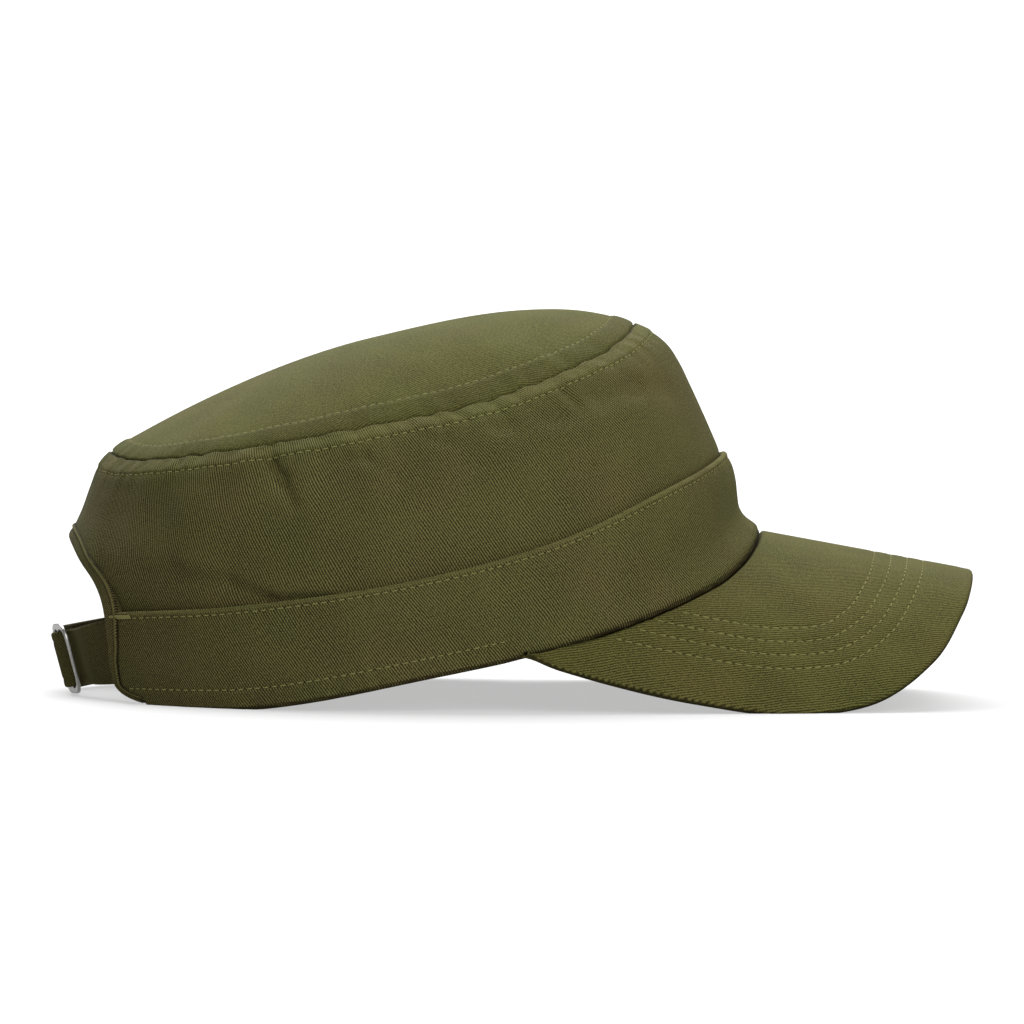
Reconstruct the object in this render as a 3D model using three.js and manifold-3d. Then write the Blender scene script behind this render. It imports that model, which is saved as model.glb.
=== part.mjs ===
// A flat-topped field cap of olive cotton twill, standing on a table on its hem and the corners of its
// peak. A domed top panel is sewn to a crown wall, a band laps over the wall's lower edge, and a stiff
// curved peak hangs from the band's front. The back is cut away in an arch with a bound edge, and a
// strap with a flat metal slide crosses the gap.
//
// Millimetres and degrees. X points ahead over the peak, Y to the wearer's left and Z up. The cap is
// drawn with its head opening level, and the last group tips it nose-up into the way it stands.

import * as THREE from "three";
import { mergeVertices } from "three/addons/utils/BufferGeometryUtils.js";
import Module from "manifold-3d";

const wasm = await Module();
wasm.setup();

// Cloth and clearances.
const WALL_CLOTH = 1.4;
const PANEL_CLOTH = 1.4;
const BAND_CLOTH = 1.7;
const SEAM_GAP = 0.35;

// How the cap stands: nose-up by this angle, on a table this far below the middle of its head opening.
// What would reach below the table is pressed flat on it.
const NOSE_UP = 14.1;
const TABLE_BELOW = 23.8;

// How square each ring is: 2 is an ellipse.
const RING_POWER = 2.15;

// The stiff peak bends the whole cap, so its rings sag at the sides. A row is a further SAG_STEP degrees
// from the front, the same to either side, and says how far the hem, the band's fold and the top seam sag.
const SAG = [
  { hem: 0, fold: 0, seam: 0 },
  { hem: 9.9, fold: 4, seam: 6.2 },
  { hem: 15.1, fold: 11.2, seam: 10.6 },
  { hem: 14.5, fold: 11.8, seam: 9.5 },
  { hem: 12.3, fold: 7.9, seam: 7.5 },
  { hem: 3.8, fold: 1.8, seam: 4.5 },
  { hem: 1, fold: 0.6, seam: 0.3 },
];
const SAG_STEP = 30;
const FOLD_HEIGHT = 24;
const SEAM_HEIGHT = 66;

// The crown wall's outer face, a row for each level: front, back and side are half lengths.
const WALL_LEVELS = [
  { height: 16, front: 96.3, back: 98.0, side: 80.7 },
  { height: 22, front: 96.3, back: 97.7, side: 80.5 },
  { height: 25.5, front: 96.6, back: 97.8, side: 80.3 },
  { height: 33, front: 95.4, back: 97.5, side: 79.6 },
  { height: 40, front: 94.1, back: 95.2, side: 78.6 },
  { height: 46, front: 92.9, back: 91.0, side: 77.2 },
  { height: 52, front: 91.6, back: 86.2, side: 75.2 },
  { height: 58, front: 89.5, back: 82.2, side: 72.2 },
  { height: 62.5, front: 86.1, back: 79.0, side: 69.0 },
  { height: SEAM_HEIGHT, front: 81.5, back: 74.2, side: 65.0 },
];

// The band's outer face, from the hem to its folded top edge.
const BAND_LEVELS = [
  { height: 0, front: 102.5, back: 101.8, side: 84.0 },
  { height: 4, front: 99.4, back: 102.4, side: 84.2 },
  { height: 8, front: 98.5, back: 102.6, side: 84.2 },
  { height: 12, front: 98.8, back: 102.5, side: 84.1 },
  { height: 16, front: 99.4, back: 101.7, side: 83.9 },
  { height: 20, front: 99.4, back: 100.8, side: 83.6 },
  { height: 23.6, front: 98.4, back: 100.0, side: 82.9 },
];

// The top panel's dome. It rises in a short roll at the seam, and is fuller ahead than behind.
const DOME = { rise: 13.7, ahead: 4.6, power: 2.4, fuller: 0.75, roll: 2.5, rollPower: 16 };
const PANEL_ROWS = [1, 0.97, 0.9, 0.76, 0.58, 0.4, 0.2];

// Soft dents in the crown wall, a row each: round is the angle from the front to the wearer's left,
// level runs from the wall's lower edge at 0 to the seam at 1.
const DENTS = [
  { round: -113, level: 0.76, wide: 5, tall: 0.2, depth: 1.5 },
  { round: -42, level: 0.78, wide: 10, tall: 0.14, depth: 1.2 },
  { round: -120, level: 0.32, wide: 10, tall: 0.07, depth: 1.2 },
  { round: -144, level: 0.62, wide: 9, tall: 0.2, depth: 1.2 },
  { round: 118, level: 0.76, wide: 7, tall: 0.2, depth: 1.4 },
  { round: 48, level: 0.76, wide: 11, tall: 0.16, depth: 1.1 },
  { round: 130, level: 0.36, wide: 10, tall: 0.1, depth: 1.2 },
];

// The arched opening at the back, seen from behind, and the tape that binds its edge. Below flareTop
// the opening widens in a rounded corner down to the hem.
const ARCH = { halfWidth: 50, apex: 45, springs: 10, power: 2.3, flare: 7, flareTop: 3, flareEnd: -4.5 };
const ARCH_STEPS = { corner: 4, side: 14 };
const BINDING = { width: 4.4, atHem: 2, onWall: 3.3, proud: 0.8, thick: 3.4 };
const REAR = { starts: -30, reach: 110, below: -60 };

// The peak runs round the hem to this angle either side. Its edge has a row for each station from the
// middle to the corner.
const PEAK_TURN = 72;
const PEAK_EDGE = [
  { ahead: 159.3, aside: 0, drop: 25.5 },
  { ahead: 157.4, aside: 21, drop: 27.9 },
  { ahead: 151.8, aside: 37, drop: 34.3 },
  { ahead: 140, aside: 53, drop: 44.2 },
  { ahead: 121, aside: 65.5, drop: 50.8 },
  { ahead: 97, aside: 73.4, drop: 48 },
  { ahead: 73, aside: 78, drop: 38.7 },
  { ahead: 48, aside: 82, drop: 26.2 },
  { ahead: 30, aside: 83.6, drop: 15.8 },
];
const PEAK = { thick: 2.8, atSeam: 1.8, thickBy: 0.3, thinsFrom: 56, atCorner: 0.4 };

// The strap across the back, on an arc of these half lengths, and the slide on it. The strap rises to its
// middle, drops towards the wearer's left by a share of the distance, and its top edge leans outwards. It
// is narrowest at the slide, and settles back on its own line over a stretch on either side of it.
const STRAP = {
  back: 102,
  side: 75.5,
  width: 14.8,
  widens: 2.4,
  thick: 1.5,
  end: 60,
  height: 9,
  rise: 2.3,
  drop: 0.03,
  lean: 1.5,
  settles: 10,
};
const SLIDE = {
  aside: -15.5,
  height: 20.6,
  length: 16.5,
  corner: 4,
  rail: 2,
  end: 2.4,
  bar: 2.2,
  thick: 1.5,
  tilt: 1.7,
  clear: 0.55,
};

// How finely each sheet is divided, round the cap and from edge to edge.
const ROUND_STEPS = 90;
const WALL_STEPS = 10;
const BAND_STEPS = 6;
const PEAK_STEPS = 8;
const BINDING_STEPS = 10;
const STRAP_STEPS = 60;

const radians = THREE.MathUtils.degToRad;
const mix = THREE.MathUtils.lerp;
const smoothstep = THREE.MathUtils.smoothstep;

// The row at a place between a table's rows, with each column drawn through them as a smooth curve.
function rowAt(table, place) {
  const last = table.length - 1;
  const first = THREE.MathUtils.clamp(Math.floor(place), 0, last - 1);
  const t = place - first;
  const near = [-1, 0, 1, 2].map((k) => table[THREE.MathUtils.clamp(first + k, 0, last)]);
  const row = {};
  for (const column of Object.keys(table[0])) {
    const [a, b, c, d] = near.map((r) => r[column]);
    const bend = 2 * a - 5 * b + 4 * c - d;
    const twist = 3 * (b - c) + d - a;
    row[column] = b + 0.5 * t * (c - a + t * (bend + t * twist));
  }
  return row;
}

// A table whose first row is at the cap's middle, with the row across the middle put before it, so that
// curves drawn through the table run level over the middle. Sideways distances change sign there.
function acrossMiddle(table) {
  const [, next] = table;
  return ["aside" in next ? { ...next, aside: -next.aside } : next, ...table];
}

const sagRows = [...acrossMiddle(SAG), SAG.at(-2)];
const peakRows = acrossMiddle(PEAK_EDGE);

// How far a ring of the cap sags at an angle from the front, by its height.
function sagAt(height, round) {
  const turned = Math.abs(Math.atan2(Math.sin(round), Math.cos(round)));
  const { hem, fold, seam } = rowAt(sagRows, 1 + turned / radians(SAG_STEP));
  if (height < FOLD_HEIGHT) return mix(hem, fold, height / FOLD_HEIGHT);
  return mix(fold, seam, (height - FOLD_HEIGHT) / (SEAM_HEIGHT - FOLD_HEIGHT));
}

// A point of a level's ring, at an angle in radians from the front towards the wearer's left.
function ringPoint(level, round) {
  const c = Math.cos(round);
  const s = Math.sin(round);
  const ahead = c > 0 ? level.front : level.back;
  const sum = Math.abs(c / ahead) ** RING_POWER + Math.abs(s / level.side) ** RING_POWER;
  const reach = sum ** (-1 / RING_POWER);
  return new THREE.Vector3(reach * c, reach * s, level.height - sagAt(level.height, round));
}

// A table of levels as a surface: round the cap, and from its lowest row at 0 to its highest at 1.
function surfaceOf(levels) {
  return (round, level) => ringPoint(rowAt(levels, level * (levels.length - 1)), round);
}

// The depth of the soft dents at a place on the crown wall.
function dentDepth(round, level) {
  let depth = 0;
  for (const dent of DENTS) {
    const turn = THREE.MathUtils.euclideanModulo((round * 180) / Math.PI - dent.round + 180, 360) - 180;
    depth += dent.depth * Math.exp(-((turn / dent.wide) ** 2) - ((level - dent.level) / dent.tall) ** 2);
  }
  return depth;
}

const bandPoint = surfaceOf(BAND_LEVELS);
const smoothWallPoint = surfaceOf(WALL_LEVELS);

function wallPoint(round, level) {
  const depth = dentDepth(round, level);
  const inwards = new THREE.Vector3(-Math.cos(round), -Math.sin(round), 0);
  return smoothWallPoint(round, level).addScaledVector(inwards, depth);
}

// The direction straight out of a surface, from points close by on it.
function outwards(pointAt, u, v) {
  const step = 1e-3;
  const along = pointAt(u + step, v).sub(pointAt(u - step, v));
  const up = pointAt(u, Math.min(v + step, 1)).sub(pointAt(u, Math.max(v - step, 0)));
  return along.cross(up).normalize();
}

// A closed sheet round the cap: for each turn, a column of points on its outer face and one on its inner.
function sleeve(pointAt, steps, thick) {
  const outer = [];
  const inner = [];
  for (let i = 0; i < ROUND_STEPS; i++) {
    const u = (2 * Math.PI * i) / ROUND_STEPS;
    const levels = Array.from({ length: steps + 1 }, (_, j) => j / steps);
    const face = levels.map((v) => pointAt(u, v));
    outer.push(face);
    inner.push(face.map((p, j) => p.clone().addScaledVector(outwards(pointAt, u, levels[j]), -thick)));
  }
  return sheetGeometry(outer, inner, true);
}

// One closed mesh from the columns of an outer and an inner face. A closed sheet's last column meets its
// first.
function sheetGeometry(outer, inner, closed) {
  const columns = outer.length;
  const rows = outer[0].length;
  const positions = [...outer.flat(), ...inner.flat()].flatMap((p) => p.toArray());
  const index = [];
  const out = (i, j) => (i % columns) * rows + j;
  const back = (i, j) => columns * rows + out(i, j);
  const quad = (a, b, c, d) => index.push(a, b, c, a, c, d);
  const spans = closed ? columns : columns - 1;
  for (let i = 0; i < spans; i++) {
    for (let j = 0; j < rows - 1; j++) {
      quad(out(i, j), out(i + 1, j), out(i + 1, j + 1), out(i, j + 1));
      quad(back(i, j), back(i, j + 1), back(i + 1, j + 1), back(i + 1, j));
    }
    quad(out(i, 0), back(i, 0), back(i + 1, 0), out(i + 1, 0));
    quad(out(i, rows - 1), out(i + 1, rows - 1), back(i + 1, rows - 1), back(i, rows - 1));
  }
  if (!closed) {
    const end = columns - 1;
    for (let j = 0; j < rows - 1; j++) {
      quad(out(0, j), out(0, j + 1), back(0, j + 1), back(0, j));
      quad(out(end, j), back(end, j), back(end, j + 1), out(end, j + 1));
    }
  }
  return indexed(positions, index);
}

function indexed(positions, index) {
  return new THREE.BufferGeometry()
    .setAttribute("position", new THREE.Float32BufferAttribute(positions, 3))
    .setIndex(index);
}

// Between a three.js geometry and a solid that can be cut and joined.
function solidOf(geometry) {
  const bare = geometry.clone();
  bare.deleteAttribute("normal");
  bare.deleteAttribute("uv");
  const merged = mergeVertices(bare, 1e-4);
  const vertProperties = merged.attributes.position.array;
  const triVerts = new Uint32Array(merged.index.array);
  return new wasm.Manifold(new wasm.Mesh({ numProp: 3, vertProperties, triVerts }));
}

function geometryOf(solid) {
  const mesh = solid.getMesh();
  return new THREE.BufferGeometry()
    .setAttribute("position", new THREE.BufferAttribute(mesh.vertProperties, 3))
    .setIndex(new THREE.BufferAttribute(mesh.triVerts, 1));
}

// Everything under the table, in the cap's own frame, where the table is tipped nose-down.
const TABLE = { length: 600, width: 400, thick: 100 };
const underTable = solidOf(
  new THREE.BoxGeometry(TABLE.length, TABLE.width, TABLE.thick)
    .translate(0, 0, -TABLE_BELOW - TABLE.thick / 2)
    .rotateY(radians(NOSE_UP)),
);

// Half of the opening's edge as [aside, height], moved out into the cloth. The share of the way from the
// hem to the apex gives how far.
function archEdge(growAt) {
  const corner = Array.from({ length: ARCH_STEPS.corner }, (_, i) => {
    const rise = i / ARCH_STEPS.corner;
    return [ARCH.halfWidth + ARCH.flare * (1 - rise) ** 2, mix(ARCH.flareEnd, ARCH.flareTop, rise)];
  });
  const side = Array.from({ length: ARCH_STEPS.side + 1 }, (_, i) => {
    const turn = (Math.PI / 2) * (i / ARCH_STEPS.side);
    const [across, up] = [Math.cos(turn), Math.sin(turn)].map((v) => Math.abs(v) ** (2 / ARCH.power));
    return [ARCH.halfWidth * across, ARCH.springs + (ARCH.apex - ARCH.springs) * up];
  });
  const edge = [...corner, ...side];
  return edge.map(([aside, height], i) => {
    const [fromAside, fromHeight] = edge[Math.max(i - 1, 0)];
    const [toAside, toHeight] = edge[Math.min(i + 1, edge.length - 1)];
    const away = growAt(i / (edge.length - 1)) / Math.hypot(toAside - fromAside, toHeight - fromHeight);
    return [aside + away * (toHeight - fromHeight), height + away * (fromAside - toAside)];
  });
}

// A bar of the opening's outline that runs back out of the cap, to cut the opening with. It starts inside
// the cap and reaches below the table.
function archBar(growAt) {
  const half = archEdge(growAt);
  const left = half.slice(0, -1).reverse();
  const foot = half[0][0];
  const outline = [[foot, REAR.below], ...half, ...left.map(([a, h]) => [-a, h]), [-foot, REAR.below]];
  const shape = new THREE.Shape(outline.map(([a, h]) => new THREE.Vector2(a, h)));
  const bar = new THREE.ExtrudeGeometry(shape, { depth: REAR.reach, bevelEnabled: false });
  const frame = new THREE.Matrix4().makeBasis(
    new THREE.Vector3(0, 1, 0),
    new THREE.Vector3(0, 0, 1),
    new THREE.Vector3(1, 0, 0),
  );
  return solidOf(bar.applyMatrix4(frame).translate(REAR.starts - REAR.reach, 0, 0));
}

// The tape shows narrower where it turns under at the hem and where it leaves the band for the wall.
function tapeWidth(share) {
  const onBand = mix(BINDING.atHem, BINDING.width, smoothstep(share, 0.05, 0.35));
  return mix(onBand, BINDING.onWall, smoothstep(share, 0.35, 0.6));
}

const clothOpening = archBar((share) => tapeWidth(share) + SEAM_GAP);

function crownWall() {
  return solidOf(sleeve(wallPoint, WALL_STEPS, WALL_CLOTH)).subtract(clothOpening);
}

function band() {
  return solidOf(sleeve(bandPoint, BAND_STEPS, BAND_CLOTH)).subtract(clothOpening).subtract(underTable);
}

// The tape round the opening: a sleeve that wraps the band's and the wall's edge, kept only near it.
function binding() {
  const covered = [...BAND_LEVELS.slice(0, -1), ...WALL_LEVELS.slice(3, 8)];
  const proud = ({ height, front, back, side }) => ({
    height,
    front: front + BINDING.proud,
    back: back + BINDING.proud,
    side: side + BINDING.proud,
  });
  const tape = sleeve(surfaceOf(covered.map(proud)), BINDING_STEPS, BINDING.thick);
  return solidOf(tape).intersect(archBar(tapeWidth)).subtract(archBar(() => 0)).subtract(underTable);
}

// The top panel: a shallow dome whose outer face ends just inside the wall's rim, and whose inner face
// ends just inside the wall's inner rim.
function topPanel() {
  const top = new THREE.Vector3(DOME.ahead, 0, SEAM_HEIGHT + DOME.rise);
  const under = top.clone().setZ(top.z - PANEL_CLOTH);
  const column = (round, centre, rim) => {
    const power = DOME.power + DOME.fuller * Math.cos(round);
    return PANEL_ROWS.map((out) => {
      const roll = DOME.roll * (1 - out ** DOME.rollPower);
      const rise = (centre.z - rim.z - DOME.roll) * (1 - out ** power);
      return centre.clone().lerp(rim, out).setZ(rim.z + roll + rise);
    });
  };
  const outer = [];
  const inner = [];
  for (let i = 0; i < ROUND_STEPS; i++) {
    const round = (2 * Math.PI * i) / ROUND_STEPS;
    const inwards = new THREE.Vector3(-Math.cos(round), -Math.sin(round), 0);
    const rim = wallPoint(round, 1).addScaledVector(inwards, 1.5 * SEAM_GAP);
    outer.push(column(round, top, rim));
    inner.push(column(round, under, rim.clone().addScaledVector(outwards(wallPoint, round, 1), -WALL_CLOTH)));
  }
  const rows = PANEL_ROWS.length;
  const positions = [...outer.flat(), ...inner.flat(), top, under].flatMap((p) => p.toArray());
  const index = [];
  const count = ROUND_STEPS * rows;
  const out = (i, j) => (i % ROUND_STEPS) * rows + j;
  const back = (i, j) => count + out(i, j);
  const quad = (a, b, c, d) => index.push(a, b, c, a, c, d);
  for (let i = 0; i < ROUND_STEPS; i++) {
    for (let j = 0; j < rows - 1; j++) {
      quad(out(i, j), out(i + 1, j), out(i + 1, j + 1), out(i, j + 1));
      quad(back(i, j), back(i, j + 1), back(i + 1, j + 1), back(i + 1, j));
    }
    const last = rows - 1;
    index.push(out(i, last), out(i + 1, last), 2 * count);
    index.push(back(i + 1, last), back(i, last), 2 * count + 1);
    quad(out(i, 0), back(i, 0), back(i + 1, 0), out(i + 1, 0));
  }
  return solidOf(indexed(positions, index));
}

// The peak's upper face: straight from the hem at 0 to the peak's edge at 1.
function peakPoint(round, out) {
  const hem = bandPoint(round, 0);
  hem.z -= SEAM_GAP;
  const station = (Math.abs(round) / radians(PEAK_TURN)) * (PEAK_EDGE.length - 1);
  const { ahead, aside, drop } = rowAt(peakRows, 1 + station);
  return hem.lerp(new THREE.Vector3(ahead, aside * Math.sign(round), -drop), out);
}

// The peak is a stiff board under cloth, thinner towards its corners. Its first stretch lies flat under the
// band's hem.
function peak() {
  const outer = [];
  const inner = [];
  const step = 360 / ROUND_STEPS;
  for (let turn = -PEAK_TURN; turn <= PEAK_TURN; turn += step) {
    const round = radians(turn);
    const seam = peakPoint(round, 0);
    const tuck = seam.clone().addScaledVector(outwards(bandPoint, round, 0), -BAND_CLOTH);
    const top = [tuck];
    const thins = mix(1, PEAK.atCorner, smoothstep(Math.abs(turn), PEAK.thinsFrom, PEAK_TURN));
    const under = [tuck.clone().setZ(tuck.z - thins * PEAK.atSeam)];
    for (let j = 0; j <= PEAK_STEPS; j++) {
      const out = j / PEAK_STEPS;
      const thick = thins * mix(PEAK.atSeam, PEAK.thick, Math.min(1, out / PEAK.thickBy));
      const face = peakPoint(round, out);
      top.push(face);
      under.push(face.clone().addScaledVector(outwards(peakPoint, round, out), thick));
    }
    outer.push(under);
    inner.push(top);
  }
  return solidOf(sheetGeometry(outer, inner, false)).subtract(underTable);
}

// The strap's middle line at a distance from the cap's middle, with its directions along and outwards.
function strapFrame(aside) {
  const centre = (y) => new THREE.Vector2(-STRAP.back * Math.sqrt(1 - (y / STRAP.side) ** 2), y);
  const along = centre(aside + 0.1).sub(centre(aside - 0.1)).normalize();
  const height = STRAP.height + STRAP.rise * (1 - (aside / ARCH.halfWidth) ** 2) - STRAP.drop * aside;
  return { centre: centre(aside), along, out: new THREE.Vector2(-along.y, along.x), height };
}

// How far the strap stands out of its own line: over the slide's middle bar and under its two sides.
function weave(along) {
  const swing = (SLIDE.thick + STRAP.thick) / 2 + SLIDE.clear;
  const side = (SLIDE.length - SLIDE.rail) / 2;
  const away = Math.abs(along);
  if (away <= side) return swing * Math.cos((Math.PI * away) / side);
  return -swing * (1 - smoothstep(away, side + SLIDE.rail, side + SLIDE.rail + STRAP.settles));
}

function strap() {
  const outer = [];
  const inner = [];
  const seat = strapFrame(SLIDE.aside);
  for (let i = 0; i <= STRAP_STEPS; i++) {
    const aside = mix(-STRAP.end, STRAP.end, i / STRAP_STEPS);
    const { centre, out, height } = strapFrame(aside);
    const away = (aside - SLIDE.aside) / seat.along.y;
    const stood = weave(away);
    const width = STRAP.width + STRAP.widens * smoothstep(Math.abs(away), SLIDE.length / 2, STRAP.end / 2);
    for (const [face, column] of [
      [1, outer],
      [-1, inner],
    ]) {
      column.push(
        [-1, 1].map((edge) => {
          const leant = (edge * width * Math.sin(radians(STRAP.lean))) / 2;
          const place = out.clone().multiplyScalar(leant + stood + (face * STRAP.thick) / 2).add(centre);
          return new THREE.Vector3(place.x, place.y, height + (edge * width) / 2);
        }),
      );
    }
  }
  return solidOf(sheetGeometry(inner, outer, false));
}

// A flat plate with round corners, in the slide's own frame: x runs along the strap and y is up.
function roundedPlate(length, height, corner, thick) {
  const [x, y] = [length / 2 - corner, height / 2 - corner];
  const shape = new THREE.Shape();
  shape.absarc(x, y, corner, 0, Math.PI / 2);
  shape.absarc(-x, y, corner, Math.PI / 2, Math.PI);
  shape.absarc(-x, -y, corner, Math.PI, 1.5 * Math.PI);
  shape.absarc(x, -y, corner, 1.5 * Math.PI, 2 * Math.PI);
  const settings = { depth: thick, bevelEnabled: false, curveSegments: 5 };
  return solidOf(new THREE.ExtrudeGeometry(shape, settings).translate(0, 0, -thick / 2));
}

// The slide is stamped flat: a rounded frame with one bar up its middle.
function slideSolid() {
  const { length, height, corner, rail, end, bar, thick } = SLIDE;
  const hole = roundedPlate(length - 2 * rail, height - 2 * end, corner - rail, 2 * thick);
  const middle = solidOf(new THREE.BoxGeometry(bar, height - end, thick));
  return roundedPlate(length, height, corner, thick).subtract(hole).add(middle);
}

// Materials.
const twill = new THREE.MeshStandardMaterial({ color: 0x5b5833, roughness: 0.95, metalness: 0 });
const paleTwill = new THREE.MeshStandardMaterial({ color: 0x6c6b45, roughness: 0.95, metalness: 0 });
const tape = new THREE.MeshStandardMaterial({ color: 0x4a472b, roughness: 0.95, metalness: 0 });
const metal = new THREE.MeshStandardMaterial({ color: 0xb9b9b4, roughness: 0.35, metalness: 1 });

const cap = new THREE.Group();

function piece(name, solid, material) {
  const mesh = new THREE.Mesh(geometryOf(solid), material);
  mesh.name = name;
  cap.add(mesh);
  return mesh;
}

piece("top_panel", topPanel(), paleTwill);
piece("crown_wall", crownWall(), twill);
piece("band", band(), twill);
piece("peak", peak(), paleTwill);
piece("opening_binding", binding(), tape);
piece("strap", strap(), tape);

// The slide lies along the strap, leans out with it, and is tilted a little in its own plane.
const seat = strapFrame(SLIDE.aside);
const slide = piece("slide", slideSolid(), metal);
const upright = new THREE.Matrix4().makeBasis(
  new THREE.Vector3(-seat.along.x, -seat.along.y, 0),
  new THREE.Vector3(0, 0, 1),
  new THREE.Vector3(seat.out.x, seat.out.y, 0),
);
slide.quaternion
  .setFromRotationMatrix(upright)
  .multiply(new THREE.Quaternion().setFromEuler(new THREE.Euler(radians(STRAP.lean), 0, -radians(SLIDE.tilt))));
slide.position.set(seat.centre.x, seat.centre.y, seat.height);

// Tip the cap nose-up and stand it on the table, with the middle of its box over the origin.
const standing = new THREE.Group();
standing.add(cap);
cap.rotation.y = -radians(NOSE_UP);
cap.position.z = TABLE_BELOW;
const box = new THREE.Box3().setFromObject(cap, true);
const middle = box.getCenter(new THREE.Vector3());
cap.position.x -= middle.x;
cap.position.z -= box.min.z;

export default standing;
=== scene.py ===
# %% [markdown]
# # A field cap of olive cotton twill
#
# A flat-topped cap with a stiff curved peak stands on a pale table. Its cloth pieces are drawn here as
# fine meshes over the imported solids, then woven, stitched and lit. Lengths are in millimetres in the
# cap's own frame, with X ahead over the peak, Y to the wearer's left and Z up, and its head opening
# level. The last step of every piece tips it nose-up into the way the cap stands, and into metres.

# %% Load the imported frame
import math

import bmesh
import bpy
import numpy as np
from mathutils import Euler, Matrix, Vector


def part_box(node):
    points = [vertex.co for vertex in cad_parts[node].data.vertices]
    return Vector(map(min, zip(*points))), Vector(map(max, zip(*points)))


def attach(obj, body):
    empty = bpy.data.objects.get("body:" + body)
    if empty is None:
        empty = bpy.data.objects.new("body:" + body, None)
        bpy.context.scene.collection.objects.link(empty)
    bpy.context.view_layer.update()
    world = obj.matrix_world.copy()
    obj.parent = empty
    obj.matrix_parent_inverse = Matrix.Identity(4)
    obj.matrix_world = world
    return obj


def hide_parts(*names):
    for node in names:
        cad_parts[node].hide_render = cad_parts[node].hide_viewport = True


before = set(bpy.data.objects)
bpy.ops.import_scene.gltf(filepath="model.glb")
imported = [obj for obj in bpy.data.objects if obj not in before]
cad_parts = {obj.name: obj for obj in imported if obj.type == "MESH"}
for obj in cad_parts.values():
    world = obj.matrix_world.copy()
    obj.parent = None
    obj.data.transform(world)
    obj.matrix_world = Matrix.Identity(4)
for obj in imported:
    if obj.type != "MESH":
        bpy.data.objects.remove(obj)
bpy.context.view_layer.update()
print("solids in the frame:", ", ".join(sorted(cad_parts)))

# %% [markdown]
# ## Smooth tables
#
# Each ring of the cap is a row in a short table: a height, and how far the ring reaches to the front,
# back and side. A surface is a smooth curve through such rows. A lofted curve object could do the same,
# but a function that answers for any place at once also tells where seams, stitches and folds run.

# %% Curves through the rows of a table


def mix(a, b, share):
    return a + (b - a) * share


def smoothstep(value, low, high):
    t = np.clip((np.asarray(value, float) - low) / (high - low), 0, 1)
    return t * t * (3 - 2 * t)


def bump_at(value, middle, width):
    """1 at the middle, falling smoothly to nothing some widths away."""
    return np.exp(-(((value - middle) / width) ** 2))


def direction(points):
    return points / np.linalg.norm(points, axis=-1, keepdims=True)


def rows_at(table, place):
    """The columns of a table at a place between its rows, on curves drawn through the rows."""
    table = np.asarray(table, float)
    place = np.asarray(place, float)
    last = len(table) - 1
    first = np.clip(np.floor(place).astype(int), 0, last - 1)
    t = (place - first)[..., None]
    a, b, c, d = (table[np.clip(first + k, 0, last)] for k in (-1, 0, 1, 2))
    row = b + 0.5 * t * (c - a + t * (2 * a - 5 * b + 4 * c - d + t * (3 * (b - c) + d - a)))
    return np.moveaxis(row, -1, 0)


# %% The rings of the cap
RING_POWER, SLOPE_STEP = 2.15, 1e-3
FOLD_HEIGHT, SEAM_HEIGHT = 24.0, 66.0
SAG_STEP = math.radians(30)
# hem, fold, seam: how far each ring sags, every 30 degrees from the front to the back
SAG = [
    (0, 0, 0),
    (9.9, 4, 6.2),
    (15.1, 11.2, 10.6),
    (14.5, 11.8, 9.5),
    (12.3, 7.9, 7.5),
    (3.8, 1.8, 4.5),
    (1, 0.6, 0.3),
]
# height, front, back, side
WALL_LEVELS = [
    (16, 96.3, 98.0, 80.7),
    (22, 96.3, 97.7, 80.5),
    (25.5, 96.6, 97.8, 80.3),
    (33, 95.4, 97.5, 79.6),
    (40, 94.1, 95.2, 78.6),
    (46, 92.9, 91.0, 77.2),
    (52, 91.6, 86.2, 75.2),
    (58, 89.5, 82.2, 72.2),
    (62.5, 86.1, 79.0, 69.0),
    (66, 81.5, 74.2, 65.0),
]
BAND_LEVELS = [
    (0, 102.5, 101.8, 84.0),
    (4, 99.4, 102.4, 84.2),
    (8, 98.5, 102.6, 84.2),
    (12, 98.8, 102.5, 84.1),
    (16, 99.4, 101.7, 83.9),
    (20, 99.4, 100.8, 83.6),
    (23.6, 98.4, 100.0, 82.9),
]


def sag_at(height, turn):
    turned = np.abs(np.arctan2(np.sin(turn), np.cos(turn)))
    hem, fold, seam = rows_at([SAG[1], *SAG, SAG[-2]], 1 + turned / SAG_STEP)
    low = mix(hem, fold, height / FOLD_HEIGHT)
    high = mix(fold, seam, (height - FOLD_HEIGHT) / (SEAM_HEIGHT - FOLD_HEIGHT))
    return np.where(height < FOLD_HEIGHT, low, high)


def surface_of(levels):
    """A function from a turn (0 ahead, growing to the wearer's left) and a level (0 to 1) to points."""

    def point(turn, level):
        turn, level = np.broadcast_arrays(np.asarray(turn, float), np.asarray(level, float))
        height, front, back, side = rows_at(levels, level * (len(levels) - 1))
        c, s = np.cos(turn), np.sin(turn)
        ahead = np.where(c > 0, front, back)
        total = np.abs(c / ahead) ** RING_POWER + np.abs(s / side) ** RING_POWER
        reach = total ** (-1 / RING_POWER)
        return np.stack([reach * c, reach * s, height - sag_at(height, turn)], -1)

    return point


def outwards(point, turn, level):
    """The direction straight out of a surface whose levels go up. It points in where they go down."""
    along = point(turn + SLOPE_STEP, level) - point(turn - SLOPE_STEP, level)
    up = point(turn, level + SLOPE_STEP) - point(turn, level - SLOPE_STEP)
    return direction(np.cross(along, up))


smooth_wall = surface_of(WALL_LEVELS)
band_point = surface_of(BAND_LEVELS)
print("hem at the front and the side:", band_point(0, 0).round(1), band_point(-math.pi / 2, 0).round(1))

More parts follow.
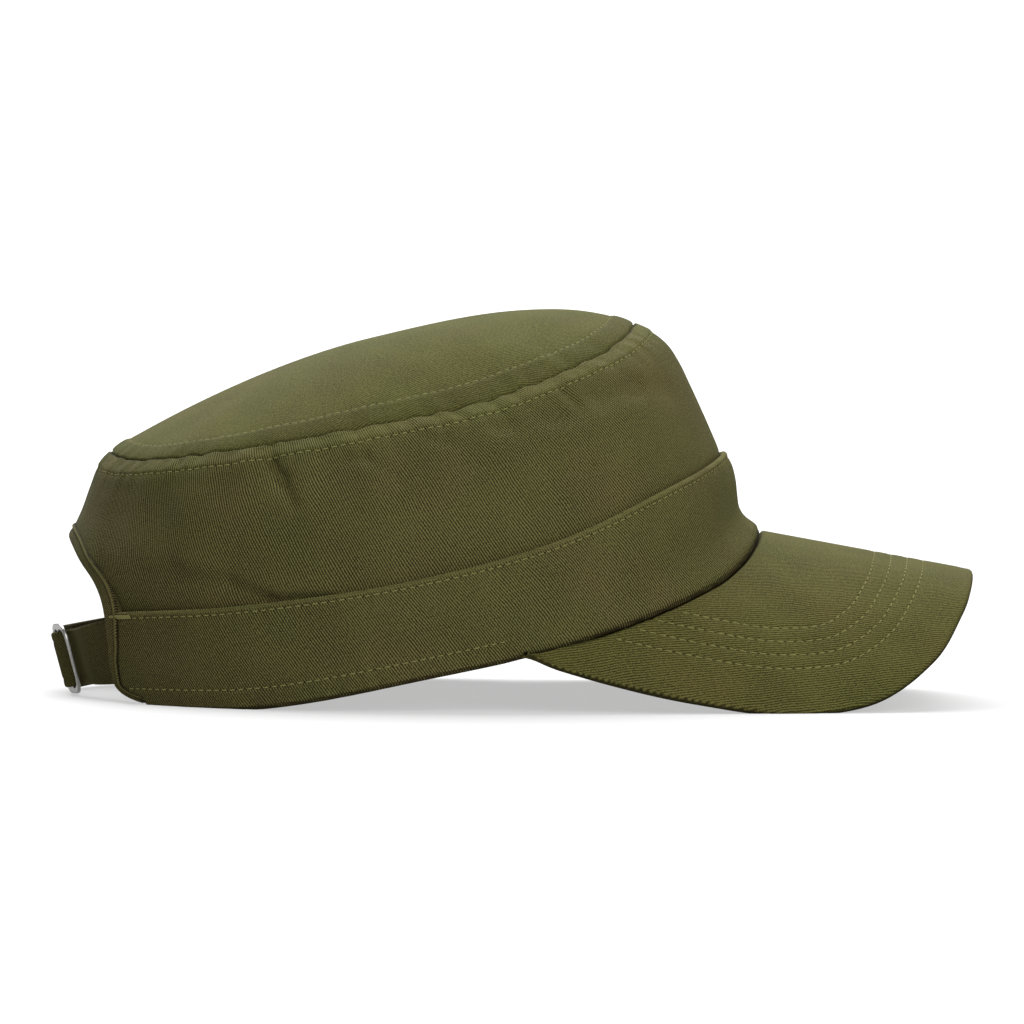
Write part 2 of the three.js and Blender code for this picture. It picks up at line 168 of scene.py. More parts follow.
# %% [markdown]
# ## Soft relief
#
# Cloth is never a clean surface. The wall has a few soft dents that the solids have too, finer creases
# that start at the seams, and small puckers along each seam where the thread pulls. The top seam itself
# wavers a little. Simulated cloth would put its folds anywhere, so the folds are listed in a table,
# and the puckers and the waver come from waves of many lengths with fixed phases.

# %% Dents, creases and puckers
SEAM_WAVER = 0.22
# turn (degrees), level, wide, tall, depth
DENTS = [
    (-113, 0.76, 5, 0.2, 1.5),
    (-42, 0.78, 10, 0.14, 1.2),
    (-120, 0.32, 10, 0.07, 1.2),
    (-144, 0.62, 9, 0.2, 1.2),
    (118, 0.76, 7, 0.2, 1.4),
    (48, 0.76, 11, 0.16, 1.1),
    (130, 0.36, 10, 0.1, 1.2),
]


def wrap_degrees(degrees):
    return (degrees + 180) % 360 - 180


def dent_depth(turn, level):
    depth = 0.0
    for middle, height, wide, tall, deep in DENTS:
        away = wrap_degrees(np.degrees(turn) - middle) / wide
        depth = depth + deep * np.exp(-(away**2) - ((level - height) / tall) ** 2)
    return depth


def seam_waver(turn):
    """How far the seam at the top wanders up and down."""
    return SEAM_WAVER * ripple(turn, 41, 18, 70)


def wall_point(turn, level):
    point = smooth_wall(turn, level)
    depth = dent_depth(turn, level)
    drawn = seam_waver(turn) * smoothstep(level, 0.86, 1)
    return point + np.stack([-np.cos(turn) * depth, -np.sin(turn) * depth, drawn + 0 * depth], -1)


def ripple(turn, seed, slowest, fastest):
    """A wave round the cap of mixed lengths, between about -1 and 1, the same each run."""
    draw = np.random.default_rng(seed)
    counts = np.arange(slowest, fastest + 1)
    phases = draw.uniform(0, 2 * math.pi, len(counts))
    heights = draw.uniform(0.4, 1, len(counts))
    waves = sum(h * np.cos(k * turn + p) for h, k, p in zip(heights, counts, phases))
    return waves / np.sqrt((heights**2).sum())


print("deepest dent:", max(row[-1] for row in DENTS), "mm")

# %% [markdown]
# ## The way the cap stands
#
# The stiff peak lifts the nose, so the cap rests on its rear hem and the two corners of its peak. Every
# finished point is tipped about Y, raised, and pressed flat where it would reach below the table. The
# solids' own box tells how far ahead the cap's middle is.

# %% From the cap's frame to the table
MM = 0.001
NOSE_UP = math.radians(14.1)
TABLE_BELOW = 23.8
PEAK_TIP = (159.3, 0, -25.5)


def tipped(points):
    points = np.asarray(points, float)
    x, y, z = np.moveaxis(points, -1, 0)
    c, s = math.cos(NOSE_UP), math.sin(NOSE_UP)
    return np.stack([x * c - z * s, y, x * s + z * c + TABLE_BELOW], -1)


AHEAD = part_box("peak")[1].x / MM - tipped(PEAK_TIP)[0]


def standing(points):
    """Points of the cap's frame, in metres where the cap stands, with nothing under the table."""
    place = tipped(points) + (AHEAD, 0, 0)
    place[..., 2] = np.maximum(place[..., 2], 0)
    return place * MM


print("the cap's own middle stands at x =", round(AHEAD, 2), "mm")

# %% [markdown]
# ## A sheet of cloth as a mesh
#
# Every cloth piece here is one closed shell: a ring of points that runs up its outer face, over the
# folded edge, down its inner face and back, repeated along the piece. Solidify could thicken a single
# surface, but then folded edges would come out square and both faces would carry the same relief.
# A UV map in metres of cloth goes with each point, so that the weave follows the cloth.

# %% Shell builder
FOLD_STEPS, FINE = 5, 2000


def cap_fan(ring):
    """A ring of vertex numbers as triangles round its first one."""
    return [(ring[0], ring[k], ring[k + 1]) for k in range(1, len(ring) - 1)]


def put_in_scene(name, data):
    obj = bpy.data.objects.new(name, data)
    bpy.context.scene.collection.objects.link(obj)
    return obj


def mark(mesh, name, values):
    """A number on each point, which a finish can read."""
    layer = mesh.attributes.new(name, "FLOAT", "POINT")
    layer.data.foreach_set("value", np.asarray(values, np.float32).ravel())


def make_mesh(name, points, faces, uvs):
    """An object at the origin, from points in the cap's frame and UVs for each corner of each face."""
    mesh = bpy.data.meshes.new(name)
    mesh.from_pydata(standing(points).tolist(), [], faces)
    layer = mesh.uv_layers.new(name="cloth")
    layer.data.foreach_set("uv", (np.asarray(uvs, float).reshape(-1, 2) * MM).ravel())
    mesh.polygons.foreach_set("use_smooth", [True] * len(mesh.polygons))
    form = bmesh.new()
    form.from_mesh(mesh)
    inside_out = form.calc_volume(signed=True) < 0
    form.free()
    if inside_out:
        mesh.flip_normals()
    mesh.update()
    return put_in_scene(name, mesh)


def shell(name, rings, cloth, closed, round_length=0.0):
    """A shell from rings[station, point, 3] and cloth[station, point, 2]. A closed one meets itself, and
    its cloth has gone on by round_length there. An open one gets its two ends filled."""
    stations, count = rings.shape[:2]
    spans = stations if closed else stations - 1
    i, j = np.meshgrid(np.arange(spans), np.arange(count), indexing="ij")
    i_next, j_next = (i + 1) % stations, (j + 1) % count
    corners = [(i, j), (i_next, j), (i_next, j_next), (i, j_next)]
    faces = np.stack([a * count + b for a, b in corners], -1).reshape(-1, 4)
    uvs = np.stack([cloth[a, b] for a, b in corners], 2)
    if closed:
        uvs[-1, :, 1:3, 0] += round_length
    faces = faces.tolist()
    uvs = uvs.reshape(-1, 2).tolist()
    if not closed:
        first = list(range(count))[::-1]
        final = [(stations - 1) * count + k for k in range(count)]
        flat = cloth.reshape(-1, 2)
        for ring in (first, final):
            for triangle in cap_fan(ring):
                faces.append(triangle)
                uvs.extend(flat[list(triangle)].tolist())
    return make_mesh(name, rings.reshape(-1, 3), faces, uvs)


def over_edge(outer, inner, steps, bulge):
    """Points of a rounded fold from the end of an outer face to the end of an inner one. Both are
    [station, 3], and bulge[station, 3] is how far the fold stands past them."""
    angles = np.linspace(0, math.pi, steps + 2)[1:-1]
    middle, arm = (outer + inner) / 2, (outer - inner) / 2
    return np.stack([middle + arm * math.cos(a) + bulge * math.sin(a) for a in angles], 1)


def folded_rings(outer, inner, thick):
    """The rings of a sheet with both of its long edges folded round. outer and inner run from one edge
    to the other: [station, row, 3]."""
    far = direction(outer[:, -1] - outer[:, -2]) * thick / 2
    near = direction(outer[:, 0] - outer[:, 1]) * thick / 2
    top = over_edge(outer[:, -1], inner[:, -1], FOLD_STEPS, far)
    low = over_edge(inner[:, 0], outer[:, 0], FOLD_STEPS, near)
    return np.concatenate([outer, top, inner[:, ::-1], low], 1)


def round_the_ring(outer, inner):
    """A number for each point of folded_rings, from those of both faces: [station, row]."""
    top, low = np.repeat(outer[:, -1:], FOLD_STEPS, 1), np.repeat(outer[:, :1], FOLD_STEPS, 1)
    return np.concatenate([outer, top, inner[:, ::-1], low], 1)


def ring_cloth(along, up_outer, up_inner):
    """UVs that go with folded_rings: along for each station, up for each row of both faces."""
    up = round_the_ring(up_outer[None], up_inner[None])
    return np.stack(np.broadcast_arrays(along[:, None], up), -1)


def lengths_along(points):
    """How far along a line of points each one is."""
    steps = np.linalg.norm(np.diff(points, axis=0), axis=-1)
    return np.concatenate([[0], np.cumsum(steps)])


def even_turns(point, level, count, start=-math.pi, end=math.pi):
    """Turns at even distances round a surface."""
    fine = np.linspace(start, end, FINE)
    gone = lengths_along(point(fine, level))
    return np.interp(np.linspace(0, gone[-1], count), gone, fine)


# %% [markdown]
# ## The arch at the back
#
# The back is cut away in an arch so that the strap can draw the cap in. Its outline is half of a squarish
# ellipse on straight legs that flare at the hem, and it cuts straight through from behind. To sew a tape
# round it, each point of the outline is looked up on the cap's surface with a few Newton steps.

# %% The outline of the opening
ARCH_HALF, ARCH_APEX, ARCH_SPRINGS, ARCH_POWER = 50.0, 45.0, 10.0, 2.3
FLARE, FLARE_TOP, FLARE_END = 7.0, 3.0, -4.5
FLARE_STEPS, ARCH_STEPS = 12, 400
CAP_HALF, REAR_FROM, NEWTON_STEP, NEWTON_ROUNDS = 84, 2.0, 1e-4, 25


def arch_line(grow, count):
    """Half of the outline as aside and height, from the hem to the apex, moved into the cloth by
    grow(share of the way)."""
    rise = np.linspace(0, 1, FLARE_STEPS)[:-1]
    corner = np.stack([ARCH_HALF + FLARE * (1 - rise) ** 2, mix(FLARE_END, FLARE_TOP, rise)], -1)
    turn = np.linspace(0, math.pi / 2, ARCH_STEPS)
    across, up = np.cos(turn) ** (2 / ARCH_POWER), np.sin(turn) ** (2 / ARCH_POWER)
    side = np.stack([ARCH_HALF * across, ARCH_SPRINGS + (ARCH_APEX - ARCH_SPRINGS) * up], -1)
    line = np.concatenate([corner, side])
    gone = lengths_along(line)
    share = np.linspace(0, 1, count)
    even = np.stack([np.interp(share * gone[-1], gone, line[:, k]) for k in (0, 1)], -1)
    slope = np.gradient(even, axis=0)
    slope[-1] = (-1, 0)
    normal = direction(np.stack([slope[:, 1], -slope[:, 0]], -1))
    even[-1, 0] = 0
    return even + normal * np.asarray(grow(share))[:, None]


def crossed(a, b):
    return a[..., 0] * b[..., 1] - a[..., 1] * b[..., 0]


def find_on(point, line):
    """The turns and levels at which a surface's rear passes over a line of asides and heights."""
    turn = math.pi - np.arcsin(np.clip(line[:, 0] / CAP_HALF, -1, 1))
    level = np.full_like(turn, 0.5)
    for _ in range(NEWTON_ROUNDS):
        here = point(turn, level)[..., 1:]
        miss = here - line
        by_turn = (point(turn + NEWTON_STEP, level)[..., 1:] - here) / NEWTON_STEP
        by_level = (point(turn, level + NEWTON_STEP)[..., 1:] - here) / NEWTON_STEP
        turn = turn - crossed(miss, by_level) / crossed(by_turn, by_level)
        level = level - crossed(by_turn, miss) / crossed(by_turn, by_level)
        turn, level = np.clip(turn, REAR_FROM, math.pi), np.clip(level, -0.1, 1.1)
    return turn, level


# the raw edge reaches this far into the tape
TUCKED_IN, EDGE_POINTS = 1.2, 240


def edge_on(point):
    """The turns and levels of a cloth's raw edge along the opening, where it lies on that cloth."""
    turn, level = find_on(point, arch_line(lambda share: np.full_like(share, TUCKED_IN), EDGE_POINTS))
    there = (level > 0.002) & (level < 1)
    return turn[there], level[there]


wall_edge = edge_on(smooth_wall)
band_edge = edge_on(band_point)
print("the opening starts", round(math.degrees(band_edge[0][0]), 1), "degrees from the front")

# %% [markdown]
# ## The crown wall
#
# A strip of twill goes round the head and is sewn to the top panel, with its edge turned down inside
# and held by a row of topstitching. So the stretch above that row is doubled and stands a little proud,
# the row itself lies in a shallow groove, and both pull the cloth into puckers. The wall's columns
# follow the arch at the back, so its cut edge stays clean under the tape.

# %% Where things are on the wall
WALL_CLOTH, WALL_FOLD = 1.4, 0.5
TOPSTITCH_BELOW = 5.2
SIDE, RULER_MARKS, ROUND_MARKS = -math.pi / 2, 600, 4000


def level_ruler(point, turn):
    """Levels against the distance up from the lowest one, along the surface at one turn."""
    levels = np.linspace(0, 1, RULER_MARKS)
    return levels, lengths_along(point(turn, levels))


wall_levels, wall_up = level_ruler(smooth_wall, SIDE)
WALL_TALL = wall_up[-1]


def wall_below(level):
    """Millimetres below the top seam, along the cloth."""
    return WALL_TALL - np.interp(level, wall_levels, wall_up)


def wall_level(below):
    return np.interp(WALL_TALL - np.asarray(below, float), wall_up, wall_levels)


fine_turns = np.linspace(-math.pi, math.pi, ROUND_MARKS)
wall_gone = lengths_along(smooth_wall(fine_turns, 0.45))
WALL_ROUND = wall_gone[-1]


def wall_along(turn):
    return np.interp(turn, fine_turns, wall_gone)


print("the wall is", round(WALL_ROUND), "mm round and", round(WALL_TALL), "mm tall")

# %% Relief of the wall
GROOVE_WIDE, WALL_DOUBLED, WALL_GROOVE = 0.55, 0.4, 0.28
WALL_PINCH, PINCH_UNEVEN, WALL_PINCH_WIDE = 0.45, 0.3, 0.55
WALL_PUCKERS, PUCKERS_REACH, WALL_SLACK, SLACK_REACH = 0.24, 9, 0.42, 34
# from turn (degrees), from below (mm), to turn, to below, width (mm), depth (mm)
WALL_CREASES = [
    (-113.2, -1, -112.6, 8, 1.6, 0.9),
    (-112.6, 8, -110.5, 13, 2.4, 1.6),
    (-110.5, 13, -108, 21, 2.2, 1.1),
    (-101, 2, -101.3, 8, 1.5, 0.6),
    (-92, 2, -90.5, 11.5, 1.6, 0.5),
    (-95, 10, -91.5, 10, 2.5, 0.8),
    (-91, 11, -85, 19, 2.0, 0.35),
    (-85, 19, -76, 13, 2.5, 0.35),
    (-76, 9, -73, 10.5, 2.2, 0.7),
    (-67.5, 2, -66, 4.5, 1.6, 0.4),
    (-61.5, 10.5, -58, 12, 2.5, 0.8),
    (-51, 13, -47, 14.5, 2.5, 0.7),
    (-43.5, 6, -42.6, 13, 1.6, 0.8),
    (-45.5, 7, -45.2, 13, 1.6, -0.4),
    (-37.5, 13, -28, 15.5, 4.2, 1.35),
    (-28, 15.5, -19, 21, 4.5, 0.8),
    (-133, 38, -123, 41, 2.2, 0.7),
    (-123, 41, -115.5, 47.5, 1.9, 1.4),
    (-115.5, 47.5, -104, 49, 1.7, 1.1),
    (-131, 34, -115, 44, 3.2, -0.9),
    (-112, 44.5, -104, 47, 2.0, -0.4),
    (113, -1, 112, 8, 1.6, 0.8),
    (112, 8, 108.5, 19, 1.9, 0.9),
    (88, 4, 90, 12, 1.8, 0.6),
    (63, 10, 59, 12, 2.5, 0.7),
    (44, 6, 41, 14, 1.8, 0.7),
    (34, 13, 26, 15, 3.0, 0.8),
    (128, 38, 114, 47.5, 2.4, 0.7),
    (126, 34, 115, 44, 3.0, -0.5),
]


def crease_depth(along, below):
    """How deep the creases are at a place on the wall, given as millimetres round and below the seam."""
    depth = 0.0
    for turn_a, below_a, turn_b, below_b, width, deep in WALL_CREASES:
        ax, bx = (wall_along(math.radians(t)) for t in (turn_a, turn_b))
        dx, dy = bx - ax, below_b - below_a
        share = ((along - ax) * dx + (below - below_a) * dy) / (dx * dx + dy * dy)
        share = np.clip(share, 0, 1)
        away = np.hypot(along - ax - share * dx, below - below_a - share * dy)
        depth = depth + deep * bump_at(away, 0, width)
    return depth


def sewn_edge(away, stitch, doubled, groove, pinch, pinch_wide):
    """Relief next to a seam: the cloth is doubled as far as its stitches, they press a groove, and it
    is pinched where it turns into the seam."""
    proud = doubled * (1 - smoothstep(away, stitch - 0.6, stitch + 0.9))
    pinched = pinch * (1 - smoothstep(away, 0, pinch_wide)) ** 2
    return proud - groove * bump_at(away, stitch, GROOVE_WIDE) - pinched


def wall_relief(turn, below):
    """How far the finished cloth stands out of the plain wall: the sewn edge, short puckers next to it,
    slack waves further down, and the creases."""
    pinch = WALL_PINCH + PINCH_UNEVEN * ripple(turn, 14, 30, 110)
    sewn = sewn_edge(below, TOPSTITCH_BELOW, WALL_DOUBLED, WALL_GROOVE, pinch, WALL_PINCH_WIDE)
    pulled = ripple(turn, 3, 24, 90) * bump_at(below, 0, PUCKERS_REACH) * smoothstep(below, 0, 2.5)
    slack = ripple(turn, 5, 9, 30) * smoothstep(below, 2, 14) * bump_at(below, 0, SLACK_REACH)
    soft = WALL_PUCKERS * pulled + WALL_SLACK * slack
    return sewn + soft - crease_depth(wall_along(turn), below)


def finished_wall(turn, below):
    level = wall_level(below)
    relief = wall_relief(turn, below)[..., None]
    return wall_point(turn, level) + outwards(wall_point, turn, level) * relief


print("the topstitch runs", TOPSTITCH_BELOW, "mm below the seam")

# %% Columns of the wall
EDGE_ROWS_TO, WALL_LOW_ROWS, WALL_IN_ROWS = 12.0, 40, 24
SIDE_COLUMNS, ARCH_COLUMNS = 250, 90
near_seam = [0, 0.2, 0.4, 0.7, 1.1, 1.6, 2.2, 2.9, 3.6, 4.2, 4.6, 4.9, 5.2, 5.5, 5.8, 6.3, 7, 8, 9, 10, 11]
kept = wall_level(EDGE_ROWS_TO)
rows_wall = np.concatenate([np.linspace(0, kept, WALL_LOW_ROWS), wall_level(near_seam[::-1])])

edge_turn, edge_level = wall_edge
corner = edge_turn[0]
side_turns = even_turns(smooth_wall, 0, SIDE_COLUMNS, 0, corner)
climb = np.linspace(0, 1, ARCH_COLUMNS + 1)[1:]
climbed = lengths_along(smooth_wall(edge_turn, edge_level))
climbed /= climbed[-1]
low_turn = np.concatenate([side_turns, np.interp(climb, climbed, edge_turn)])
low_level = np.concatenate([0 * side_turns, np.interp(climb, climbed, edge_level)])
high_back = even_turns(smooth_wall, 1, ARCH_COLUMNS + 1, corner, math.pi)
high_turn = np.concatenate([side_turns, high_back[1:]])
print("columns on half of the wall:", len(low_turn), "of them over the arch:", ARCH_COLUMNS)

# %% Build the wall


def wall_grid(rows):
    """Turns and levels [station, row]: rows above the kept level run level, the rest follow the arch."""
    share = np.clip(rows / kept, 0, 1)
    level = np.where(rows >= kept, rows, mix(low_level[:, None], kept, share))
    turn = mix(low_turn[:, None], high_turn[:, None], share)
    # the left half from the apex to the front, then the right half back to the apex
    level = np.concatenate([level[:0:-1], level[:-1]])
    turn = np.concatenate([-turn[:0:-1], turn[:-1]])
    return turn, level


def build_wall():
    turn, level = wall_grid(rows_wall)
    below = wall_below(level)
    turn_in, level_in = wall_grid(np.linspace(0, 1, WALL_IN_ROWS))
    inner = wall_point(turn_in, level_in) - outwards(wall_point, turn_in, level_in) * WALL_CLOTH
    rings = folded_rings(finished_wall(turn, below), inner, WALL_FOLD)
    along = round_the_ring(wall_along(turn), wall_along(turn_in))
    up = round_the_ring(WALL_TALL - below, WALL_TALL - wall_below(level_in))
    return shell("cap_wall", rings, np.stack([along, up], -1), True, WALL_ROUND)


wall = build_wall()
print("wall:", len(wall.data.polygons), "faces")

# %% [markdown]
# ## The top panel
#
# An oval of the same twill closes the cap. It rises out of the seam in a short roll and then in a low
# dome that is fuller ahead. Its own edge is turned down inside the wall, and another row of topstitching
# holds it. The turned-down edge is built too, so no light shows through the seam.

# %% Shape of the dome
PANEL_CLOTH = 1.4
SEAM_GAP = 0.35
DOME_RISE, DOME_AHEAD, DOME_POWER, DOME_FULLER = 14.2, 4.6, 2.55, 0.8
ROLL, ROLL_POWER, ROLL_ALONG, WAVER_FROM = 0.8, 60, 0.6, 0.88
PANEL_STITCH, PANEL_DOUBLED, PANEL_GROOVE, PANEL_PINCH, PANEL_PINCH_WIDE = 6.0, 0.35, 0.25, 0.35, 0.5
PANEL_PUCKERS, PANEL_PUCKERS_REACH, PANEL_SLACK = 0.12, 8, 0.22
dome_top = np.array([DOME_AHEAD, 0, SEAM_HEIGHT + DOME_RISE])


def level_inwards(turn):
    return np.stack([-np.cos(turn), -np.sin(turn), 0 * turn], -1)


def panel_point(turn, out):
    """A point of the dome at a share of the way from its top to the seam."""
    turn, out = np.broadcast_arrays(np.asarray(turn, float), np.asarray(out, float))
    rim = wall_point(turn, np.ones_like(turn)) + level_inwards(turn) * 1.5 * SEAM_GAP
    rim[..., 2] -= seam_waver(turn) * (1 - smoothstep(out, WAVER_FROM, 1))
    power = DOME_POWER + DOME_FULLER * np.cos(turn)
    point = mix(dome_top, rim, out[..., None])
    roll = ROLL * (1 - out**ROLL_POWER)
    rise = (dome_top[2] - rim[..., 2] - ROLL) * (1 - out**power)
    point[..., 2] = rim[..., 2] + roll + rise
    return point


def panel_up(turn, out):
    """The direction straight up out of the dome, whose shares go down."""
    return -outwards(panel_point, turn, out)


def panel_relief(turn, inside):
    """How far the finished cloth stands out of the plain dome, by the distance inside the seam."""
    sewn = sewn_edge(
        inside, PANEL_STITCH, PANEL_DOUBLED, PANEL_GROOVE, PANEL_PINCH, PANEL_PINCH_WIDE
    )
    pulled = ripple(turn, 11, 16, 56) * bump_at(inside, 0, PANEL_PUCKERS_REACH) * smoothstep(inside, 1, 4)
    slack = ripple(turn, 12, 6, 18) * bump_at(inside, 14, 10)
    return sewn + PANEL_PUCKERS * pulled + PANEL_SLACK * slack


def panel_inside(turn, out):
    """The distance inside the seam, along the dome."""
    rim = panel_point(turn, np.ones_like(np.asarray(out, float) + turn))
    flat = np.linalg.norm((rim - dome_top)[..., :2], axis=-1) * (1 - out)
    return flat + ROLL * (1 - np.asarray(out) ** ROLL_POWER) * ROLL_ALONG


def finished_panel(turn, out):
    relief = panel_relief(turn, panel_inside(turn, out))
    return panel_point(turn, out) + panel_up(turn, out) * relief[..., None]


print("dome top", dome_top.round(1))

# %% Build the top panel
ALLOWANCE, ALLOWANCE_CLOTH, STRIP_SHADE = 7.0, 0.9, 0.22
PANEL_COLUMNS, PANEL_SIZE, DOME_MARKS = 560, 78, 120
near_rim = [0, 0.2, 0.5, 0.9, 1.4, 2, 2.6, 3.2, 3.7, 4.1, 4.4, 4.7, 5, 5.3, 5.7, 6.3, 7.1, 8, 9]
panel_outs = (1 - np.concatenate([near_rim, np.linspace(10, 76, 44)]) / PANEL_SIZE)[::-1]
panel_outs_in = np.linspace(0.97, 0.04, 16)
allowance = np.linspace(1.2, ALLOWANCE, 5)


def panel_rings(turn):
    """The outer face, the allowance turned down inside the wall, and the inner face."""
    level = wall_level(allowance)
    normal = outwards(wall_point, turn, level)
    tucked = wall_point(turn, level) - normal * (WALL_CLOTH + 0.1)
    back = tucked[:, ::-1] - normal[:, ::-1] * ALLOWANCE_CLOTH
    inner = panel_point(turn, panel_outs_in) - (0, 0, PANEL_CLOTH)
    return np.concatenate([finished_panel(turn, panel_outs), tucked, back, inner], 1)


def panel_faces(stations, count):
    """Quads round the panel and triangles at its two poles, which are the last two points."""
    i, j = np.meshgrid(np.arange(stations), np.arange(count - 1), indexing="ij")
    here, following = i * count + j, (i + 1) % stations * count + j
    faces = np.stack([following, following + 1, here + 1, here], -1).reshape(-1, 4).tolist()
    for k in range(stations):
        other = (k + 1) % stations
        faces.append((other * count, k * count, stations * count))
        faces.append((k * count + count - 1, other * count + count - 1, stations * count + 1))
    return faces


def panel_reach(turn):
    """How far each ring point is from the dome's top, along the cloth."""
    share = np.linspace(0, 1, DOME_MARKS)
    steps = np.linalg.norm(np.diff(panel_point(turn, share), axis=1), axis=-1)
    gone = np.concatenate([0 * turn, steps], 1).cumsum(1)
    turned_down = np.concatenate([allowance, allowance[::-1]])
    reach = []
    for row in gone:
        over, under = (np.interp(outs, share, row) for outs in (panel_outs, panel_outs_in))
        reach.append(np.concatenate([over, row[-1] + turned_down, under]))
    return reach


def build_panel():
    turn = even_turns(smooth_wall, 1, PANEL_COLUMNS + 1)[:-1, None]
    rings = panel_rings(turn)
    points = np.concatenate([rings.reshape(-1, 3), [dome_top, dome_top - (0, 0, PANEL_CLOTH)]])
    faces = panel_faces(*rings.shape[:2])
    spread = np.append(panel_reach(turn), [0, 0])[:, None] * direction((points - dome_top)[:, :2] + 1e-9)
    made = make_mesh("cap_top", points, faces, [spread[v] for f in faces for v in f])
    edge = np.zeros(rings.shape[:2])
    strip = 1 - smoothstep(panel_inside(turn, panel_outs), PANEL_STITCH - 1, PANEL_STITCH + 2)
    edge[:, : len(panel_outs)] = STRIP_SHADE * strip
    mark(made.data, "edge", np.append(edge, [0, 0]))
    return made


top = build_panel()
print("top panel:", len(top.data.polygons), "faces")

# %% [markdown]
# ## The band
#
# A second strip laps over the wall's foot. Its top edge is folded in and stitched down, its lower edge
# is the hem, turned up inside and stitched too. The two strips end under the tape at the back.

# %% Relief of the band
BAND_CLOTH = 1.7
FOLD_STITCH, HEM_STITCH = 1.05, 5.0
FOLD_PROUD, HEM_PROUD, HEM_OVER_PEAK = 0.3, 0.3, 0.7
FOLD_GROOVE, FOLD_GROOVE_WIDE, HEM_GROOVE = 0.3, 0.4, 0.25
FOLD_PUCKERS, HEM_PUCKERS, BAND_SLACK = 0.14, 0.16, 0.25
PEAK_TURN = math.radians(72)
band_levels, band_up = level_ruler(band_point, SIDE)
BAND_TALL = band_up[-1]
band_gone = lengths_along(band_point(fine_turns, 0.5))


def band_along(turn):
    return np.interp(turn, fine_turns, band_gone)


def band_level(up):
    return np.interp(up, band_up, band_levels)


def band_relief(turn, up):
    """How far the finished cloth stands out of the plain band, by the distance above the hem."""
    below = BAND_TALL - up
    fold = FOLD_PROUD * (1 - smoothstep(below, FOLD_STITCH - 0.4, FOLD_STITCH + 0.5))
    free = smoothstep(np.abs(turn), PEAK_TURN - 0.02, PEAK_TURN + 0.05)
    hem = HEM_PROUD * free * (1 - smoothstep(up, HEM_STITCH - 0.6, HEM_STITCH + 1.0))
    pressed_out = HEM_OVER_PEAK * (1 - smoothstep(up, 2.5, 9.0)) - (1 - smoothstep(up, 0, 1.9)) ** 2
    over_peak = (1 - free) * pressed_out
    fold_groove = FOLD_GROOVE * bump_at(below, FOLD_STITCH, FOLD_GROOVE_WIDE)
    grooves = fold_groove + HEM_GROOVE * free * bump_at(up, HEM_STITCH, GROOVE_WIDE)
    pulled = FOLD_PUCKERS * ripple(turn, 21, 45, 130) * bump_at(below, 0, 5)
    hemmed = HEM_PUCKERS * ripple(turn, 22, 35, 100) * bump_at(up, 0, 7)
    slack = BAND_SLACK * ripple(turn, 23, 6, 22) * bump_at(up, BAND_TALL / 2, 8)
    return fold + hem + over_peak - grooves + pulled + hemmed + slack


def finished_band(turn, up):
    level = band_level(up)
    relief = band_relief(turn, up)[..., None]
    return band_point(turn, level) + outwards(band_point, turn, level) * relief


def band_end(level):
    """The turn at which the band ends under the tape."""
    return np.interp(level, band_edge[1], band_edge[0])


print("the band is", round(BAND_TALL, 1), "mm deep at the side")

# %% Build the band
BAND_COLUMNS, BAND_IN_ROWS = 661, 14
band_rows = np.concatenate([
    [0, 0.4, 0.9, 1.5, 2.2, 3, 3.7, 4.2, 4.6, 4.85, 5.1, 5.4, 5.8, 6.4, 7.2],
    np.linspace(8.2, BAND_TALL - 3.6, 14),
    BAND_TALL - np.array([2.9, 2.3, 1.9, 1.6, 1.4, 1.2, 1.05, 0.85, 0.6, 0.3, 0]),
])


def build_band():
    share = (even_turns(band_point, 0.5, BAND_COLUMNS) / math.pi)[:, None]
    turn = share * band_end(band_level(band_rows))
    level_in = np.linspace(0, 1, BAND_IN_ROWS)
    turn_in = share * band_end(level_in)
    inner = band_point(turn_in, level_in) - outwards(band_point, turn_in, level_in) * BAND_CLOTH
    rings = folded_rings(finished_band(turn, band_rows), inner, BAND_CLOTH)
    cloth = ring_cloth(band_along(turn[:, 0]), band_rows, np.interp(level_in, band_levels, band_up))
    cloth[:, : len(band_rows), 0] = band_along(turn)
    return shell("cap_band", rings, cloth, False)


band = build_band()
print("band:", len(band.data.polygons), "faces")

# %% [markdown]
# ## The peak
#
# A stiff curved board under cloth, sewn to the band's hem from one temple to the other. Every ruled line
# of its upper face is straight from the hem to the edge. Four rows of stitching run parallel to the edge
# and press a shallow groove into the cloth. Its cloth goes on under the hem and is turned up inside the
# band, so no light shows through that seam. Its UVs come from its ruled strips, unrolled flat one by one.

# %% Shape of the peak
# ahead, aside, drop, from the middle to the corner
PEAK_EDGE = [
    (158.8, 0, 25.5),
    (156.9, 21, 27.9),
    (151.5, 37, 34.3),
    (140, 53, 44.2),
    (121, 65.5, 50.8),
    (97, 73.4, 48),
    (73, 78, 38.7),
    (48, 82, 26.2),
    (30, 83.6, 15.8),
]
PEAK_THICK, PEAK_AT_SEAM, PEAK_THICK_BY, PEAK_AT_CORNER = 2.8, 1.8, 0.3, 0.4
PEAK_THINS_FROM = math.radians(56)
PEAK_SEWN, PEAK_SEWN_UP = 0.9, 4.0
PEAK_ROWS_IN = (13.6, 18.3, 23.0, 27.9)
PEAK_GROOVE, PEAK_GROOVE_WIDE, PEAK_PADDED, PEAK_WAVES = 0.22, 0.6, 0.12, 0.06
EDGE_SAMPLES, DISTANCE_PARTS = 500, 60
across_row = (PEAK_EDGE[1][0], -PEAK_EDGE[1][1], PEAK_EDGE[1][2])


